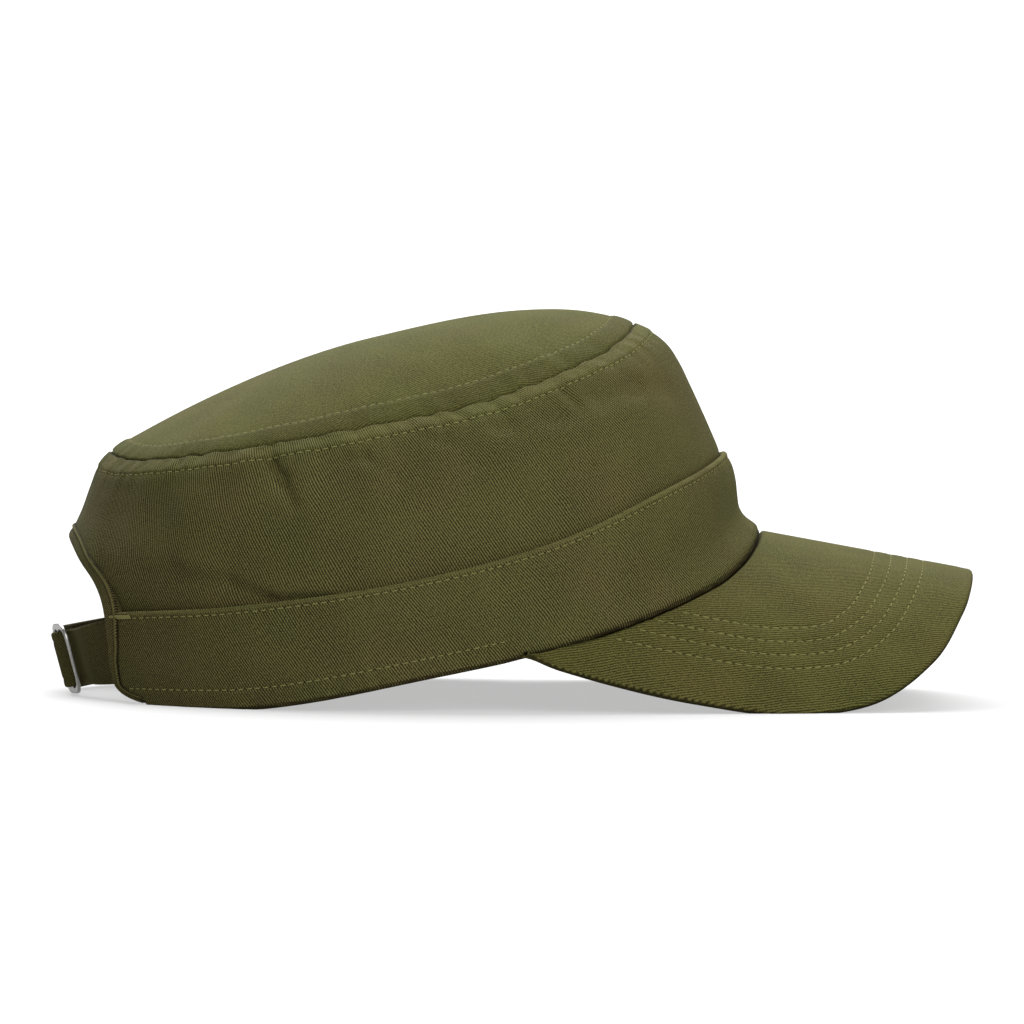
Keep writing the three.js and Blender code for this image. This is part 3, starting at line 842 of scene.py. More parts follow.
def peak_point(turn, out):
    """The upper face, from the hem at 0 to the edge at 1."""
    turn, out = np.broadcast_arrays(np.asarray(turn, float), np.asarray(out, float))
    hem = band_point(turn, np.zeros_like(turn)) - (0, 0, SEAM_GAP)
    station = np.abs(turn) / PEAK_TURN * (len(PEAK_EDGE) - 1)
    ahead, aside, drop = rows_at([across_row, *PEAK_EDGE], 1 + station)
    edge = np.stack([ahead, aside * np.sign(turn), -drop], -1)
    return mix(hem, edge, out[..., None])


def peak_down(turn, out):
    """The direction straight down out of the peak, whose shares go ahead."""
    return outwards(peak_point, turn, out)


def edge_distance(points):
    """How far points of the peak are from its edge."""
    edge = peak_point(np.linspace(-PEAK_TURN, PEAK_TURN, EDGE_SAMPLES), 1.0)
    parts = np.array_split(points.reshape(-1, 3), DISTANCE_PARTS)
    nearest = [np.linalg.norm(part[:, None] - edge, axis=-1).min(1) for part in parts]
    return np.concatenate(nearest).reshape(points.shape[:-1])


def peak_relief(turn, away):
    grooves = sum(PEAK_GROOVE * bump_at(away, row, PEAK_GROOVE_WIDE) for row in PEAK_ROWS_IN)
    padded = PEAK_PADDED * smoothstep(away, 1.5, 4)
    return padded - grooves + PEAK_WAVES * ripple(turn * 2.2, 31, 8, 30)


print("the peak reaches", round(PEAK_EDGE[0][0] - BAND_LEVELS[0][1], 1), "mm ahead of the band")

# %% Unroll the peak's cloth


def apex_of(a, b, to_a, to_b):
    """The corner of a flat triangle on the left of a to b, by its distances from both."""
    base = np.linalg.norm(b - a)
    along = (to_a**2 - to_b**2 + base**2) / (2 * base)
    up = math.sqrt(max(to_a**2 - along**2, 0))
    run = (b - a) / base
    return a + run * along + np.array([-run[1], run[0]]) * up


def laid_flat(near, far):
    """Two long edges of a strip of cloth, unrolled flat triangle by triangle."""
    flat_near, flat_far = [np.zeros(2)], [np.array([math.dist(near[0], far[0]), 0])]
    for k in range(1, len(near)):
        a, b = flat_near[-1], flat_far[-1]
        next_far = apex_of(a, b, math.dist(near[k - 1], far[k]), math.dist(far[k - 1], far[k]))
        next_near = apex_of(a, next_far, math.dist(near[k - 1], near[k]), math.dist(far[k], near[k]))
        flat_near.append(next_near)
        flat_far.append(next_far)
    flat_near, flat_far = np.array(flat_near), np.array(flat_far)
    middle = len(near) // 2
    ahead = direction(flat_far[middle] - flat_near[middle])
    turn = np.array([[ahead[0], ahead[1]], [-ahead[1], ahead[0]]])
    return (flat_near - flat_near[middle]) @ turn.T, (flat_far - flat_near[middle]) @ turn.T


print("a row of stitches every", round(PEAK_ROWS_IN[1] - PEAK_ROWS_IN[0], 1), "mm")

# %% Build the peak
PEAK_COLUMNS, PEAK_IN_ROWS, RIM_STEPS, RIM_SHARE = 421, 40, 7, 0.06
UNDER_BAND, UNDER_BAND_WIDE, UNDER_GROOVE, UNDER_GROOVE_WIDE = 1.8, 1.6, 0.2, 0.8
RIM_BULGE, RIM_DENT, CORNER_UP, CORNER_IN, TUCK_CLEAR = 0.45, 0.5, 1.3, 1.7, 0.3
CORNER_FROM, CORNER_TO, HIDDEN_FROM = math.radians(52), math.radians(66), math.radians(67)
peak_turn = np.linspace(-PEAK_TURN, PEAK_TURN, PEAK_COLUMNS)[:, None]
peak_outs = np.concatenate([[0, 0.005, 0.011, 0.018, 0.027, 0.038], np.linspace(0.05, 1, 79)])
peak_outs_in = np.linspace(0, 1, PEAK_IN_ROWS)
peak_thins = mix(1, PEAK_AT_CORNER, smoothstep(np.abs(peak_turn), PEAK_THINS_FROM, PEAK_TURN))


def peak_upper():
    """The upper face, which sinks where it goes under the band."""
    face = peak_point(peak_turn, peak_outs)
    from_hem = peak_outs * np.linalg.norm(peak_point(peak_turn, 1) - peak_point(peak_turn, 0), axis=-1)
    in_corner = smoothstep(np.abs(peak_turn), CORNER_FROM, CORNER_TO)
    under_band = UNDER_BAND * (1 - in_corner) * (1 - smoothstep(from_hem, 0, UNDER_BAND_WIDE)) ** 2
    relief = peak_relief(peak_turn, edge_distance(face)) - under_band
    return face - peak_down(peak_turn, peak_outs) * relief[..., None]


def peak_lower():
    face = peak_point(peak_turn, peak_outs_in)
    thick = peak_thins * mix(PEAK_AT_SEAM, PEAK_THICK, np.minimum(1, peak_outs_in / PEAK_THICK_BY))
    away = edge_distance(face)
    grooves = sum(UNDER_GROOVE * bump_at(away, row, UNDER_GROOVE_WIDE) for row in PEAK_ROWS_IN)
    return face + peak_down(peak_turn, peak_outs_in) * (thick - grooves)[..., None]


def peak_rim(upper, lower):
    ahead = direction(upper[:, -1] - upper[:, -2])
    thick = np.linalg.norm(upper[:, -1] - lower[:, -1], axis=-1, keepdims=True)
    rim = over_edge(upper[:, -1], lower[:, -1], RIM_STEPS, ahead * (RIM_BULGE * thick))
    rim[:, RIM_STEPS // 2] -= RIM_DENT * peak_thins * ahead
    return rim


def peak_rings():
    """Both faces, the rim between them, and the allowance that is turned up inside the band."""
    upper, lower = peak_upper(), peak_lower()
    hem_out = outwards(band_point, peak_turn, 0 * peak_turn)
    tuck = upper[:, :1] - hem_out * BAND_CLOTH
    tuck_low = lower[:, :1] - hem_out * (BAND_CLOTH + PEAK_SEWN)
    level = band_level(PEAK_SEWN_UP) + 0 * peak_turn
    sewn, inwards = band_point(peak_turn, level), -outwards(band_point, peak_turn, level)
    inside, inside_low = (sewn + inwards * (BAND_CLOTH + TUCK_CLEAR + deep) for deep in (0, PEAK_SEWN))
    rings = [inside, tuck, upper, peak_rim(upper, lower), lower[:, ::-1], tuck_low, inside_low]
    hidden = smoothstep(np.abs(peak_turn), HIDDEN_FROM, PEAK_TURN)[..., None]
    return np.concatenate(rings, 1) + hidden * (np.array([0, 0, CORNER_UP]) - CORNER_IN * hem_out)


def build_peak():
    hem_flat, edge_flat = laid_flat(peak_point(peak_turn[:, 0], 0), peak_point(peak_turn[:, 0], 1))
    round_rim = 1 + RIM_SHARE * np.linspace(0, 1, RIM_STEPS + 2)
    back = round_rim[-1] + 1 - peak_outs_in[::-1]
    shares = np.concatenate([[-0.05, 0], peak_outs, round_rim[1:-1], back, back[-1] + [0, 0.05]])
    cloth = mix(hem_flat[:, None], edge_flat[:, None], shares[None, :, None])
    made = shell("cap_peak", peak_rings(), cloth, False)
    # painted shade on each point of a ring: in the seam under the band's hem, and round the rim, darkest
    # on its underside
    round_edge = [0, 0.3, 0.8, 1, 1, 1, 1]
    in_seam = [1, 1, 1, 0.7, 0.3]
    edge = np.concatenate([in_seam, 0 * peak_outs[3:], round_edge, [0.8], 0 * peak_outs_in, [0]])
    mark(made.data, "edge", np.tile(edge, PEAK_COLUMNS))
    return made


peak = build_peak()
print("peak:", len(peak.data.polygons), "faces")

# %% [markdown]
# ## The tape round the opening
#
# A ribbed twill tape, folded in two over the raw edges, binds the arch. Its fold faces the opening, and
# its own edge is turned in, which leaves a raised cord along the cloth. A curve with a bevel profile
# would make the tube, but not one that keeps to the cap's face, so the profile is carried by the same
# lookup on the surface.

# %% Build the tape
PROUD, TAPE_POINTS, TAPE_FOLD = 0.8, 160, 15
TAPE_WIDTH, TAPE_AT_HEM, TAPE_ON_WALL = 4.4, 2.0, 3.3
TAPE_WIDENS, TAPE_FULL, TAPE_NARROW = 0.05, 0.35, 0.6
covered = [(h, f + PROUD, b + PROUD, s + PROUD) for h, f, b, s in [*BAND_LEVELS[:6], *WALL_LEVELS[3:8]]]
covered_point = surface_of(covered)
# share of the tape's width in from the opening, and depth in from its outer face
TAPE_PROFILE = [
    (1.02, 1.3), (1.05, 0.75), (1.03, 0.3), (0.98, 0.02), (0.91, -0.1), (0.84, 0.02), (0.78, 0.3),
    (0.7, 0.3), (0.6, 0.18), (0.48, 0.08), (0.36, 0.06), (0.24, 0.12), (0.14, 0.3), (0.06, 0.6),
    (0.01, 1.1), (0.0, 1.7), (0.01, 2.3), (0.06, 2.8), (0.16, 3.15), (0.4, 3.35), (0.7, 3.4),
    (0.95, 3.3), (1.03, 3.0), (1.02, 2.5),
]


def tape_width(share):
    on_band = mix(TAPE_AT_HEM, TAPE_WIDTH, smoothstep(share, TAPE_WIDENS, TAPE_FULL))
    return mix(on_band, TAPE_ON_WALL, smoothstep(share, TAPE_FULL, TAPE_NARROW))


def on_covered(inwards):
    """Points and outward directions along the whole arch, that far into the cloth."""
    turn, level = find_on(covered_point, arch_line(inwards, TAPE_POINTS))
    half = covered_point(turn, level)
    normal = outwards(covered_point, turn, level)
    flip = np.array([1, -1, 1])
    both = np.concatenate([half[:-1], (half * flip)[::-1]])
    return both, np.concatenate([normal[:-1], (normal * flip)[::-1]])


def build_tape():
    columns = []
    for share_in, depth in TAPE_PROFILE:
        point, normal = on_covered(lambda share: tape_width(share) * share_in)
        columns.append(point - normal * depth)
    rings = np.stack(columns, 1)
    along = lengths_along(rings[:, TAPE_FOLD])
    width = np.array([s for s, _ in TAPE_PROFILE]) * TAPE_WIDTH
    width[TAPE_FOLD + 1 :] *= -1
    cloth = np.stack(np.broadcast_arrays(along[:, None], width[None]), -1)
    return shell("cap_binding", rings[:, ::-1], cloth[:, ::-1], False)


binding = build_tape()
print("tape:", len(binding.data.polygons), "faces")

# %% [markdown]
# ## The strap and its slide
#
# A narrow folded strap crosses the opening, and a flat stamped slide holds it. The strap goes over the
# slide's middle bar and under its two sides, so it bends out and back in. It is built straight from its
# own middle line.

# %% Build the strap
STRAP_BACK, STRAP_SIDE, STRAP_WIDTH, STRAP_WIDENS, STRAP_THICK = 102, 75.5, 14.8, 2.4, 1.5
STRAP_END, STRAP_HEIGHT, STRAP_RISE, STRAP_DROP = 60, 9.3, 1.7, 0.03
STRAP_SEAM_IN, STRAP_SEAM_DEEP, STRAP_SEAM_WIDE = 1.9, 0.16, 0.5
STRAP_LEAN, STRAP_SETTLES, STRAP_COLUMNS, STRAP_ROWS = math.radians(1.5), 10, 361, 25
SLIDE_ASIDE, SLIDE_HEIGHT, SLIDE_LENGTH, SLIDE_CORNER = -15.5, 20.6, 16.5, 5
SLIDE_RAIL, SLIDE_END, SLIDE_BAR, SLIDE_THICK = 1.05, 1.7, 2.2, 1.0
SLIDE_TILT, SLIDE_CLEAR = math.radians(1.7), 0.55


def strap_frame(aside):
    """The strap's middle line, its direction along and outwards, all [.., 3]."""
    aside = np.asarray(aside, float)

    def line(y):
        height = STRAP_HEIGHT + STRAP_RISE * (1 - (y / ARCH_HALF) ** 2) - STRAP_DROP * y
        return np.stack([-STRAP_BACK * np.sqrt(1 - (y / STRAP_SIDE) ** 2), y, height], -1)

    along = line(aside + 0.1) - line(aside - 0.1)
    along[..., 2] = 0
    along = direction(along)
    out = np.stack([-along[..., 1], along[..., 0], 0 * aside], -1)
    return line(aside), along, out


def weave_out(away):
    """How far the strap stands out of its own line: over the middle bar and under the sides."""
    swing = (SLIDE_THICK + STRAP_THICK) / 2 + SLIDE_CLEAR
    side = (SLIDE_LENGTH - SLIDE_RAIL) / 2
    over = swing * np.cos(math.pi * away / side)
    under = -swing * (1 - smoothstep(away, side + SLIDE_RAIL, side + SLIDE_RAIL + STRAP_SETTLES))
    return np.where(away <= side, over, under)


def build_strap():
    _, seat_along, _ = strap_frame(SLIDE_ASIDE)
    aside = np.linspace(-STRAP_END, STRAP_END, STRAP_COLUMNS)
    line, along, out = strap_frame(aside)
    away = np.abs(aside - SLIDE_ASIDE) / seat_along[1]
    width = STRAP_WIDTH + STRAP_WIDENS * smoothstep(away, SLIDE_LENGTH / 2, STRAP_END / 2)
    across = np.linspace(-0.5, 0.5, STRAP_ROWS)
    seam_at = STRAP_WIDTH / 2 - STRAP_SEAM_IN
    edges = STRAP_SEAM_DEEP * bump_at(np.abs(across) * STRAP_WIDTH, seam_at, STRAP_SEAM_WIDE)
    reach = width[:, None, None] * across[None, :, None]
    stood = weave_out(away)[:, None, None] + reach * math.sin(STRAP_LEAN)
    middle = line[:, None] + np.array([0, 0, 1.0]) * reach + out[:, None] * stood
    thick = out[:, None] * (STRAP_THICK / 2 - edges[None, :, None])
    rings = folded_rings(middle + thick, middle - thick, STRAP_THICK)
    up = across * STRAP_WIDTH
    return shell("cap_strap", rings, ring_cloth(lengths_along(line), up, up), False)


strap = build_strap()
print("strap:", len(strap.data.polygons), "faces")

# %% [markdown]
# ## The slide
#
# The slide is stamped from flat metal: a rounded frame with one bar up its middle. A flat curve with an
# outline and two holes, given a depth and a small bevel, makes the same shape as the stamping tool does.
# It becomes a mesh before it is put in its place.

# %% Build the slide
STAMPED_ROUND, STAMPED_INSIDE, CORNER_STEPS = 0.25, 0.6, 9


def outline(curve, middle, length, height, corner_left, corner_right):
    """A rounded rectangle as a closed line of a flat curve."""
    points = []
    corners = [(1, 1, corner_right), (-1, 1, corner_left), (-1, -1, corner_left), (1, -1, corner_right)]
    for quarter, (aside, up, radius) in enumerate(corners):
        cx = middle + aside * (length / 2 - radius)
        cy = up * (height / 2 - radius)
        for angle in np.radians(90 * quarter + np.linspace(0, 90, CORNER_STEPS)):
            points.append((cx + radius * math.cos(angle), cy + radius * math.sin(angle), 0))
    spline = curve.splines.new("POLY")
    spline.points.add(len(points) - 1)
    for place, co in zip(spline.points, points):
        place.co = (*co, 1)
    spline.use_cyclic_u = True


def stamped_curve():
    curve = bpy.data.curves.new("slide_outline", "CURVE")
    curve.dimensions, curve.fill_mode = "2D", "BOTH"
    grown = STAMPED_ROUND
    corner_out = SLIDE_CORNER - grown
    outline(curve, 0, SLIDE_LENGTH - 2 * grown, SLIDE_HEIGHT - 2 * grown, corner_out, corner_out)
    gap = (SLIDE_LENGTH - 2 * SLIDE_RAIL - SLIDE_BAR) / 2
    size = (gap + 2 * grown, SLIDE_HEIGHT - 2 * SLIDE_END + 2 * grown)
    middle = (SLIDE_BAR + gap) / 2
    rail_side, bar_side = SLIDE_CORNER - SLIDE_RAIL + grown, STAMPED_INSIDE + grown
    outline(curve, -middle, *size, rail_side, bar_side)
    outline(curve, middle, *size, bar_side, rail_side)
    curve.extrude = SLIDE_THICK / 2 - grown
    curve.bevel_depth, curve.bevel_resolution = grown, 3
    return curve


def build_slide():
    shaped = put_in_scene("slide_shape", stamped_curve())
    bpy.context.view_layer.update()
    flat = bpy.data.meshes.new_from_object(shaped.evaluated_get(bpy.context.evaluated_depsgraph_get()))
    bpy.data.objects.remove(shaped)
    line, along, out = strap_frame(SLIDE_ASIDE)
    basis = Matrix((-Vector(along), (0, 0, 1), Vector(out))).transposed()
    turned = basis @ Euler((STRAP_LEAN, 0, -SLIDE_TILT)).to_matrix()
    points = np.array([turned @ v.co + Vector(line) for v in flat.vertices])
    for vertex, place in zip(flat.vertices, standing(points)):
        vertex.co = place
    form = bmesh.new()
    form.from_mesh(flat)
    bmesh.ops.remove_doubles(form, verts=form.verts, dist=1e-6)
    bmesh.ops.recalc_face_normals(form, faces=form.faces)
    form.to_mesh(flat)
    form.free()
    return put_in_scene("cap_slide", flat)


slide = build_slide()
print("slide:", len(slide.data.polygons), "faces")

# %% [markdown]
# ## Stitches
#
# A row of stitches is a short run of thread, a needle hole, and the next run. Each row follows a line
# on the cloth, so it suits Geometry Nodes: the tree turns the line into a curve, puts points along it
# at the stitch length, and lays one thread on each point, along the line and out of the cloth. The
# threads are realised and made a plain mesh, because the export drops instances. A bar tack, the dense
# bar that ends the fold's row at the tape, is many short lines side by side through the same tree.

# %% One run of thread
THREAD_SIDES = 6
THREAD_THICK, THREAD_SHARE = 0.34, 0.7
# along, thickness, height
THREAD_RINGS = [
    (-0.5, 0.55, -0.75),
    (-0.44, 0.85, -0.3),
    (-0.3, 1, 0),
    (0, 1.05, 0.08),
    (0.3, 1, 0),
    (0.44, 0.85, -0.3),
    (0.5, 0.55, -0.75),
]
HOLE_LONG, HOLE_WIDE, HOLE_RIM, HOLE_TOP, HOLE_FOOT = 0.11, 0.55, 0.15, 0.4, -0.3


def thread_shape():
    """One run of thread, 1 unit long and 1 thick, that dips into the cloth at both ends, with a cone at
    the hole it comes out of, painted near black as shade in the hole. The mark hole tells the two apart."""
    sides = THREAD_SIDES
    angles = np.arange(sides) * 2 * math.pi / sides
    points = [
        (x, thick / 2 * math.cos(a), z + thick / 2 * math.sin(a))
        for x, thick, z in THREAD_RINGS
        for a in angles
    ]
    run_points = len(points)
    faces = [
        (k + a, k + sides + a, k + sides + (a + 1) % sides, k + (a + 1) % sides)
        for k in range(0, run_points - sides, sides)
        for a in range(sides)
    ]
    faces += [tuple(range(sides)), tuple(range(run_points - 1, run_points - sides - 1, -1))]
    middle = 0.5 / THREAD_SHARE
    points += [(middle + HOLE_LONG * math.cos(a), HOLE_WIDE * math.sin(a), HOLE_RIM) for a in angles]
    points += [(middle, 0, HOLE_TOP), (middle, 0, HOLE_FOOT)]
    for a in range(sides):
        here, following = run_points + a, run_points + (a + 1) % sides
        faces += [(here, following, run_points + sides), (following, here, run_points + sides + 1)]
    mesh = bpy.data.meshes.new("thread")
    mesh.from_pydata(points, [], faces)
    mesh.polygons.foreach_set("use_smooth", [True] * len(mesh.polygons))
    mark(mesh, "hole", np.arange(len(points)) >= run_points)
    return bpy.data.objects.new("thread", mesh)


thread = thread_shape()
print("a thread and its hole have", len(thread.data.polygons), "faces")

# %% The stitch tree
SWAY = 0.06
STITCH_INPUTS = {
    "Line": "Geometry",
    "Stitch": "Float",
    "Thread": "Float",
    "Share": "Float",
    "Shape": "Object",
    "Finish": "Material",
    "Seed": "Int",
}


def feed(tree, socket, value):
    """Links a socket to another one, or sets its value."""
    if isinstance(value, bpy.types.NodeSocket):
        tree.links.new(value, socket)
    else:
        socket.default_value = value


def add_node(tree, kind, settings=None, values=None):
    """A node, with its settings made first and then the values or links of its sockets."""
    made = tree.nodes.new(kind)
    for key, value in (settings or {}).items():
        setattr(made, key, value)
    for key, value in (values or {}).items():
        feed(tree, made.inputs[key], value)
    return made


def number(sockets, name=None):
    """A node's socket for plain numbers, where others have the same name."""
    return next(s for s in sockets if s.type == "VALUE" and name in (None, s.name))


def stitch_tree():
    tree = bpy.data.node_groups.new("running stitch", "GeometryNodeTree")
    for name, kind in STITCH_INPUTS.items():
        tree.interface.new_socket(name, in_out="INPUT", socket_type="NodeSocket" + kind)
    tree.interface.new_socket("Stitches", in_out="OUTPUT", socket_type="NodeSocketGeometry")

    def node(kind, settings=None, output=0, **values):
        values = {key.replace("_", " "): value for key, value in values.items()}
        return add_node(tree, kind, settings, values).outputs[output]

    source = add_node(tree, "NodeGroupInput").outputs
    curve = node("GeometryNodeMeshToCurve", Mesh=source["Line"])
    even = node("GeometryNodeResampleCurve", {"mode": "LENGTH"}, Curve=curve, Length=source["Stitch"])
    out = node("GeometryNodeInputNamedAttribute", {"data_type": "FLOAT_VECTOR"}, Name="out")
    align = "FunctionNodeAlignRotationToVector"
    along = node(align, {"axis": "X"}, Vector=node("GeometryNodeInputTangent"))
    upright = node(align, {"axis": "Z", "pivot_axis": "X"}, Rotation=along, Vector=out)
    sway = add_node(tree, "FunctionNodeRandomValue", {"data_type": "FLOAT"}, {"Seed": source["Seed"]})
    number(sway.inputs, "Min").default_value = -SWAY
    number(sway.inputs, "Max").default_value = SWAY
    euler = node("FunctionNodeEulerToRotation", Euler=node("ShaderNodeCombineXYZ", Z=number(sway.outputs)))
    local = {"rotation_space": "LOCAL"}
    turned = node("FunctionNodeRotateRotation", local, Rotation=upright, Rotate_By=euler)
    both = {0: source["Stitch"], 1: source["Share"]}
    length = add_node(tree, "ShaderNodeMath", {"operation": "MULTIPLY"}, both).outputs[0]
    size = node("ShaderNodeCombineXYZ", X=length, Y=source["Thread"], Z=source["Thread"])
    shape = node("GeometryNodeObjectInfo", output="Geometry", Object=source["Shape"])
    placed = node("GeometryNodeInstanceOnPoints", Points=even, Instance=shape, Rotation=turned, Scale=size)
    real = node("GeometryNodeRealizeInstances", Geometry=placed)
    coloured = node("GeometryNodeSetMaterial", Geometry=real, Material=source["Finish"])
    add_node(tree, "NodeGroupOutput", None, {0: coloured})
    return tree


running_stitch = stitch_tree()
print("the stitch tree has", len(running_stitch.nodes), "nodes")

# %% Lines for the stitches
STITCH, PEAK_STITCH = 2.5, 2.9


def stitch_lines(name, lines, finish, seed, stitch):
    """Stitches along lines of points with their outward directions, as one plain mesh."""
    points, outs, edges = [], [], []
    for line, normal in lines:
        first = len(points)
        place = standing(line)
        points.extend(place.tolist())
        outs.extend(((standing(line + normal) - place) / MM).tolist())
        edges.extend((k, k + 1) for k in range(first, first + len(line) - 1))
    mesh = bpy.data.meshes.new(name)
    mesh.from_pydata(points, edges, [])
    mesh.attributes.new("out", "FLOAT_VECTOR", "POINT").data.foreach_set("vector", np.ravel(outs))
    obj = put_in_scene(name, mesh)
    modifier = obj.modifiers.new("stitches", "NODES")
    modifier.node_group = running_stitch
    identifiers = {item.name: item.identifier for item in running_stitch.interface.items_tree}
    sizes = {"Stitch": stitch * MM, "Thread": THREAD_THICK * MM, "Share": THREAD_SHARE}
    for key, value in {**sizes, "Shape": thread, "Finish": finish, "Seed": seed}.items():
        modifier[identifiers[key]] = value
    bpy.context.view_layer.update()
    graph = bpy.context.evaluated_depsgraph_get()
    real = bpy.data.meshes.new_from_object(obj.evaluated_get(graph), depsgraph=graph)
    obj.modifiers.clear()
    obj.data = real
    return obj


print("stitches are", STITCH, "mm long, in thread", THREAD_THICK, "mm thick")

# %% [markdown]
# ## Finishes
#
# Every finish is worked out from the cloth's own UV map, in millimetres of cloth, so the weave keeps its
# size and follows the folds. Shader maths is written as plain sums: a small class wraps a socket and
# adds a Math node for each operator. Image textures would do for one distance only.

# %% Sockets that can be used in sums


class Wire:
    """An output socket of a finish's nodes."""

    def __init__(self, finish, socket):
        self.finish, self.socket = finish, socket

    def maths(self, operation, *values):
        return self.finish.node("ShaderNodeMath", {"operation": operation}, dict(enumerate(values)))

    def __add__(self, other):
        return self.maths("ADD", self, other)

    def __sub__(self, other):
        return self.maths("SUBTRACT", self, other)

    def __rsub__(self, other):
        return self.maths("SUBTRACT", other, self)

    def __mul__(self, other):
        return self.maths("MULTIPLY", self, other)

    def __truediv__(self, other):
        return self.maths("DIVIDE", self, other)

    __radd__ = __add__
    __rmul__ = __mul__

    def wave(self):
        """A wave from 0 to 1 as the value goes on by 1."""
        return 0.5 + 0.5 * self.maths("COSINE", self * (2 * math.pi))

    def size(self):
        return self.maths("ABSOLUTE", self)

    def step(self, low, high):
        """0 below low, 1 above high, and smooth between them."""
        settings = {"interpolation_type": "SMOOTHSTEP"}
        values = {"Value": self, "From Min": low, "From Max": high}
        return self.finish.node("ShaderNodeMapRange", settings, values)


class Finish:
    """A material under construction."""

    def __init__(self, name):
        self.material = bpy.data.materials.new(name)
        self.material.use_nodes = True
        self.tree = self.material.node_tree
        self.shader = self.tree.nodes["Principled BSDF"]

    def node(self, kind, settings=None, values=None, output=0):
        values = {key: getattr(value, "socket", value) for key, value in (values or {}).items()}
        return Wire(self, add_node(self.tree, kind, settings, values).outputs[output])

    def set(self, **values):
        """Sets or links the shader's own sockets."""
        for key, value in values.items():
            feed(self.tree, self.shader.inputs[key.replace("_", " ")], getattr(value, "socket", value))

    def blend(self, share, low, high, kind="MIX"):
        """Two colours mixed by a share."""
        settings = {"data_type": "RGBA", "blend_type": kind}
        return self.node("ShaderNodeMix", settings, {0: share, 6: low, 7: high}, 2)

    def vector(self, operation, *values):
        return self.node("ShaderNodeVectorMath", {"operation": operation}, dict(enumerate(values)))

    def part(self, place, axis):
        """One of a place's three numbers, X, Y or Z."""
        return self.node("ShaderNodeSeparateXYZ", None, {0: place}, axis)

    def noise(self, place, scale, detail, output="Fac"):
        values = {"Vector": place, "Scale": scale, "Detail": detail}
        return self.node("ShaderNodeTexNoise", None, values, output)

    def marked(self, name):
        """The number that a mesh has on its points under that name."""
        return self.node("ShaderNodeAttribute", {"attribute_name": name}, None, "Fac")

    def bump(self, height, strength, deep):
        """Shades a relief that is so many millimetres deep."""
        values = {"Height": height, "Strength": strength, "Distance": deep * MM}
        self.set(Normal=self.node("ShaderNodeBump", None, values))


def colour(*seen):
    """A linear colour from the 0 to 255 values seen on a screen."""
    shares = [value / 255 for value in seen]
    return (*[v / 12.92 if v <= 0.04045 else ((v + 0.055) / 1.055) ** 2.4 for v in shares], 1.0)


print("a mid olive is", [round(v, 3) for v in colour(100, 98, 60)[:3]])

# %% [markdown]
# ## Twill
#
# In a twill the warp threads float over several weft threads, one step over from row to row, so the
# cloth shows fine raised diagonal cords. The cords are a wave across the diagonal; the floats break each
# cord into short rounded beads. Bump gives them their shading, and the colour darkens between them.

# %% Cords and floats
TWILL_PITCH, FLOAT_LENGTH, FLOAT_SHIFT, DRIFT = 0.75, 1.1, 0.5, 2.2
CORD_SHADE, BEAD_SHADE, DASH_SHADE, MOTTLE_SHADE, GRAIN_SHADE = 0.95, 0.6, 0.24, 0.4, 1.2


def weave(finish, place, lean, pitch):
    """Cords, the floats along them, and how strongly each stretch of a cord shows, all 0 to 1."""
    drift = finish.noise(place, 0.06, 2.0, "Color")
    moved = finish.vector("MULTIPLY_ADD", drift, (DRIFT, DRIFT, 0), place)
    leans = {"Vector": moved, "Angle": math.radians(-lean)}
    turned = finish.node("ShaderNodeVectorRotate", {"rotation_type": "Z_AXIS"}, leans)
    along, across = finish.part(turned, "X"), finish.part(turned, "Y")
    cords = (across / pitch).wave()
    floats = (along / (pitch * FLOAT_LENGTH) + across / pitch * FLOAT_SHIFT).wave()
    stretched = finish.vector("MULTIPLY", turned, (0.9, 1.8, 1))
    return cords, floats, finish.noise(stretched, 1.0, 1.0).step(0.3, 0.7)


def near_row(up, row, reach):
    """1 on a row that runs along the cloth, and 0 from a reach away on both sides."""
    return up.step(row - reach, row) * (1 - up.step(row, row + reach))


print("twill cords every", TWILL_PITCH, "mm")

# %% The twill finish
NOWHERE = 1e3
GREENER, BROWNER = (0.9, 1.04, 0.9, 1), (1.05, 0.96, 1.0, 1)
# where painted shade starts and ends round the back of a piece, and how dark it makes the cloth
BACK_FROM, BACK_TO, BACK_SHADE = 0.24, 0.42, 0.16
EDGE_FADES, EDGE_SHADE, EDGE_FLATTENS = 0.6, 0.25, 0.8
GATHER_HEIGHT, CORD_DEPTH, CORD_BUMP = 8, 0.09, 0.7


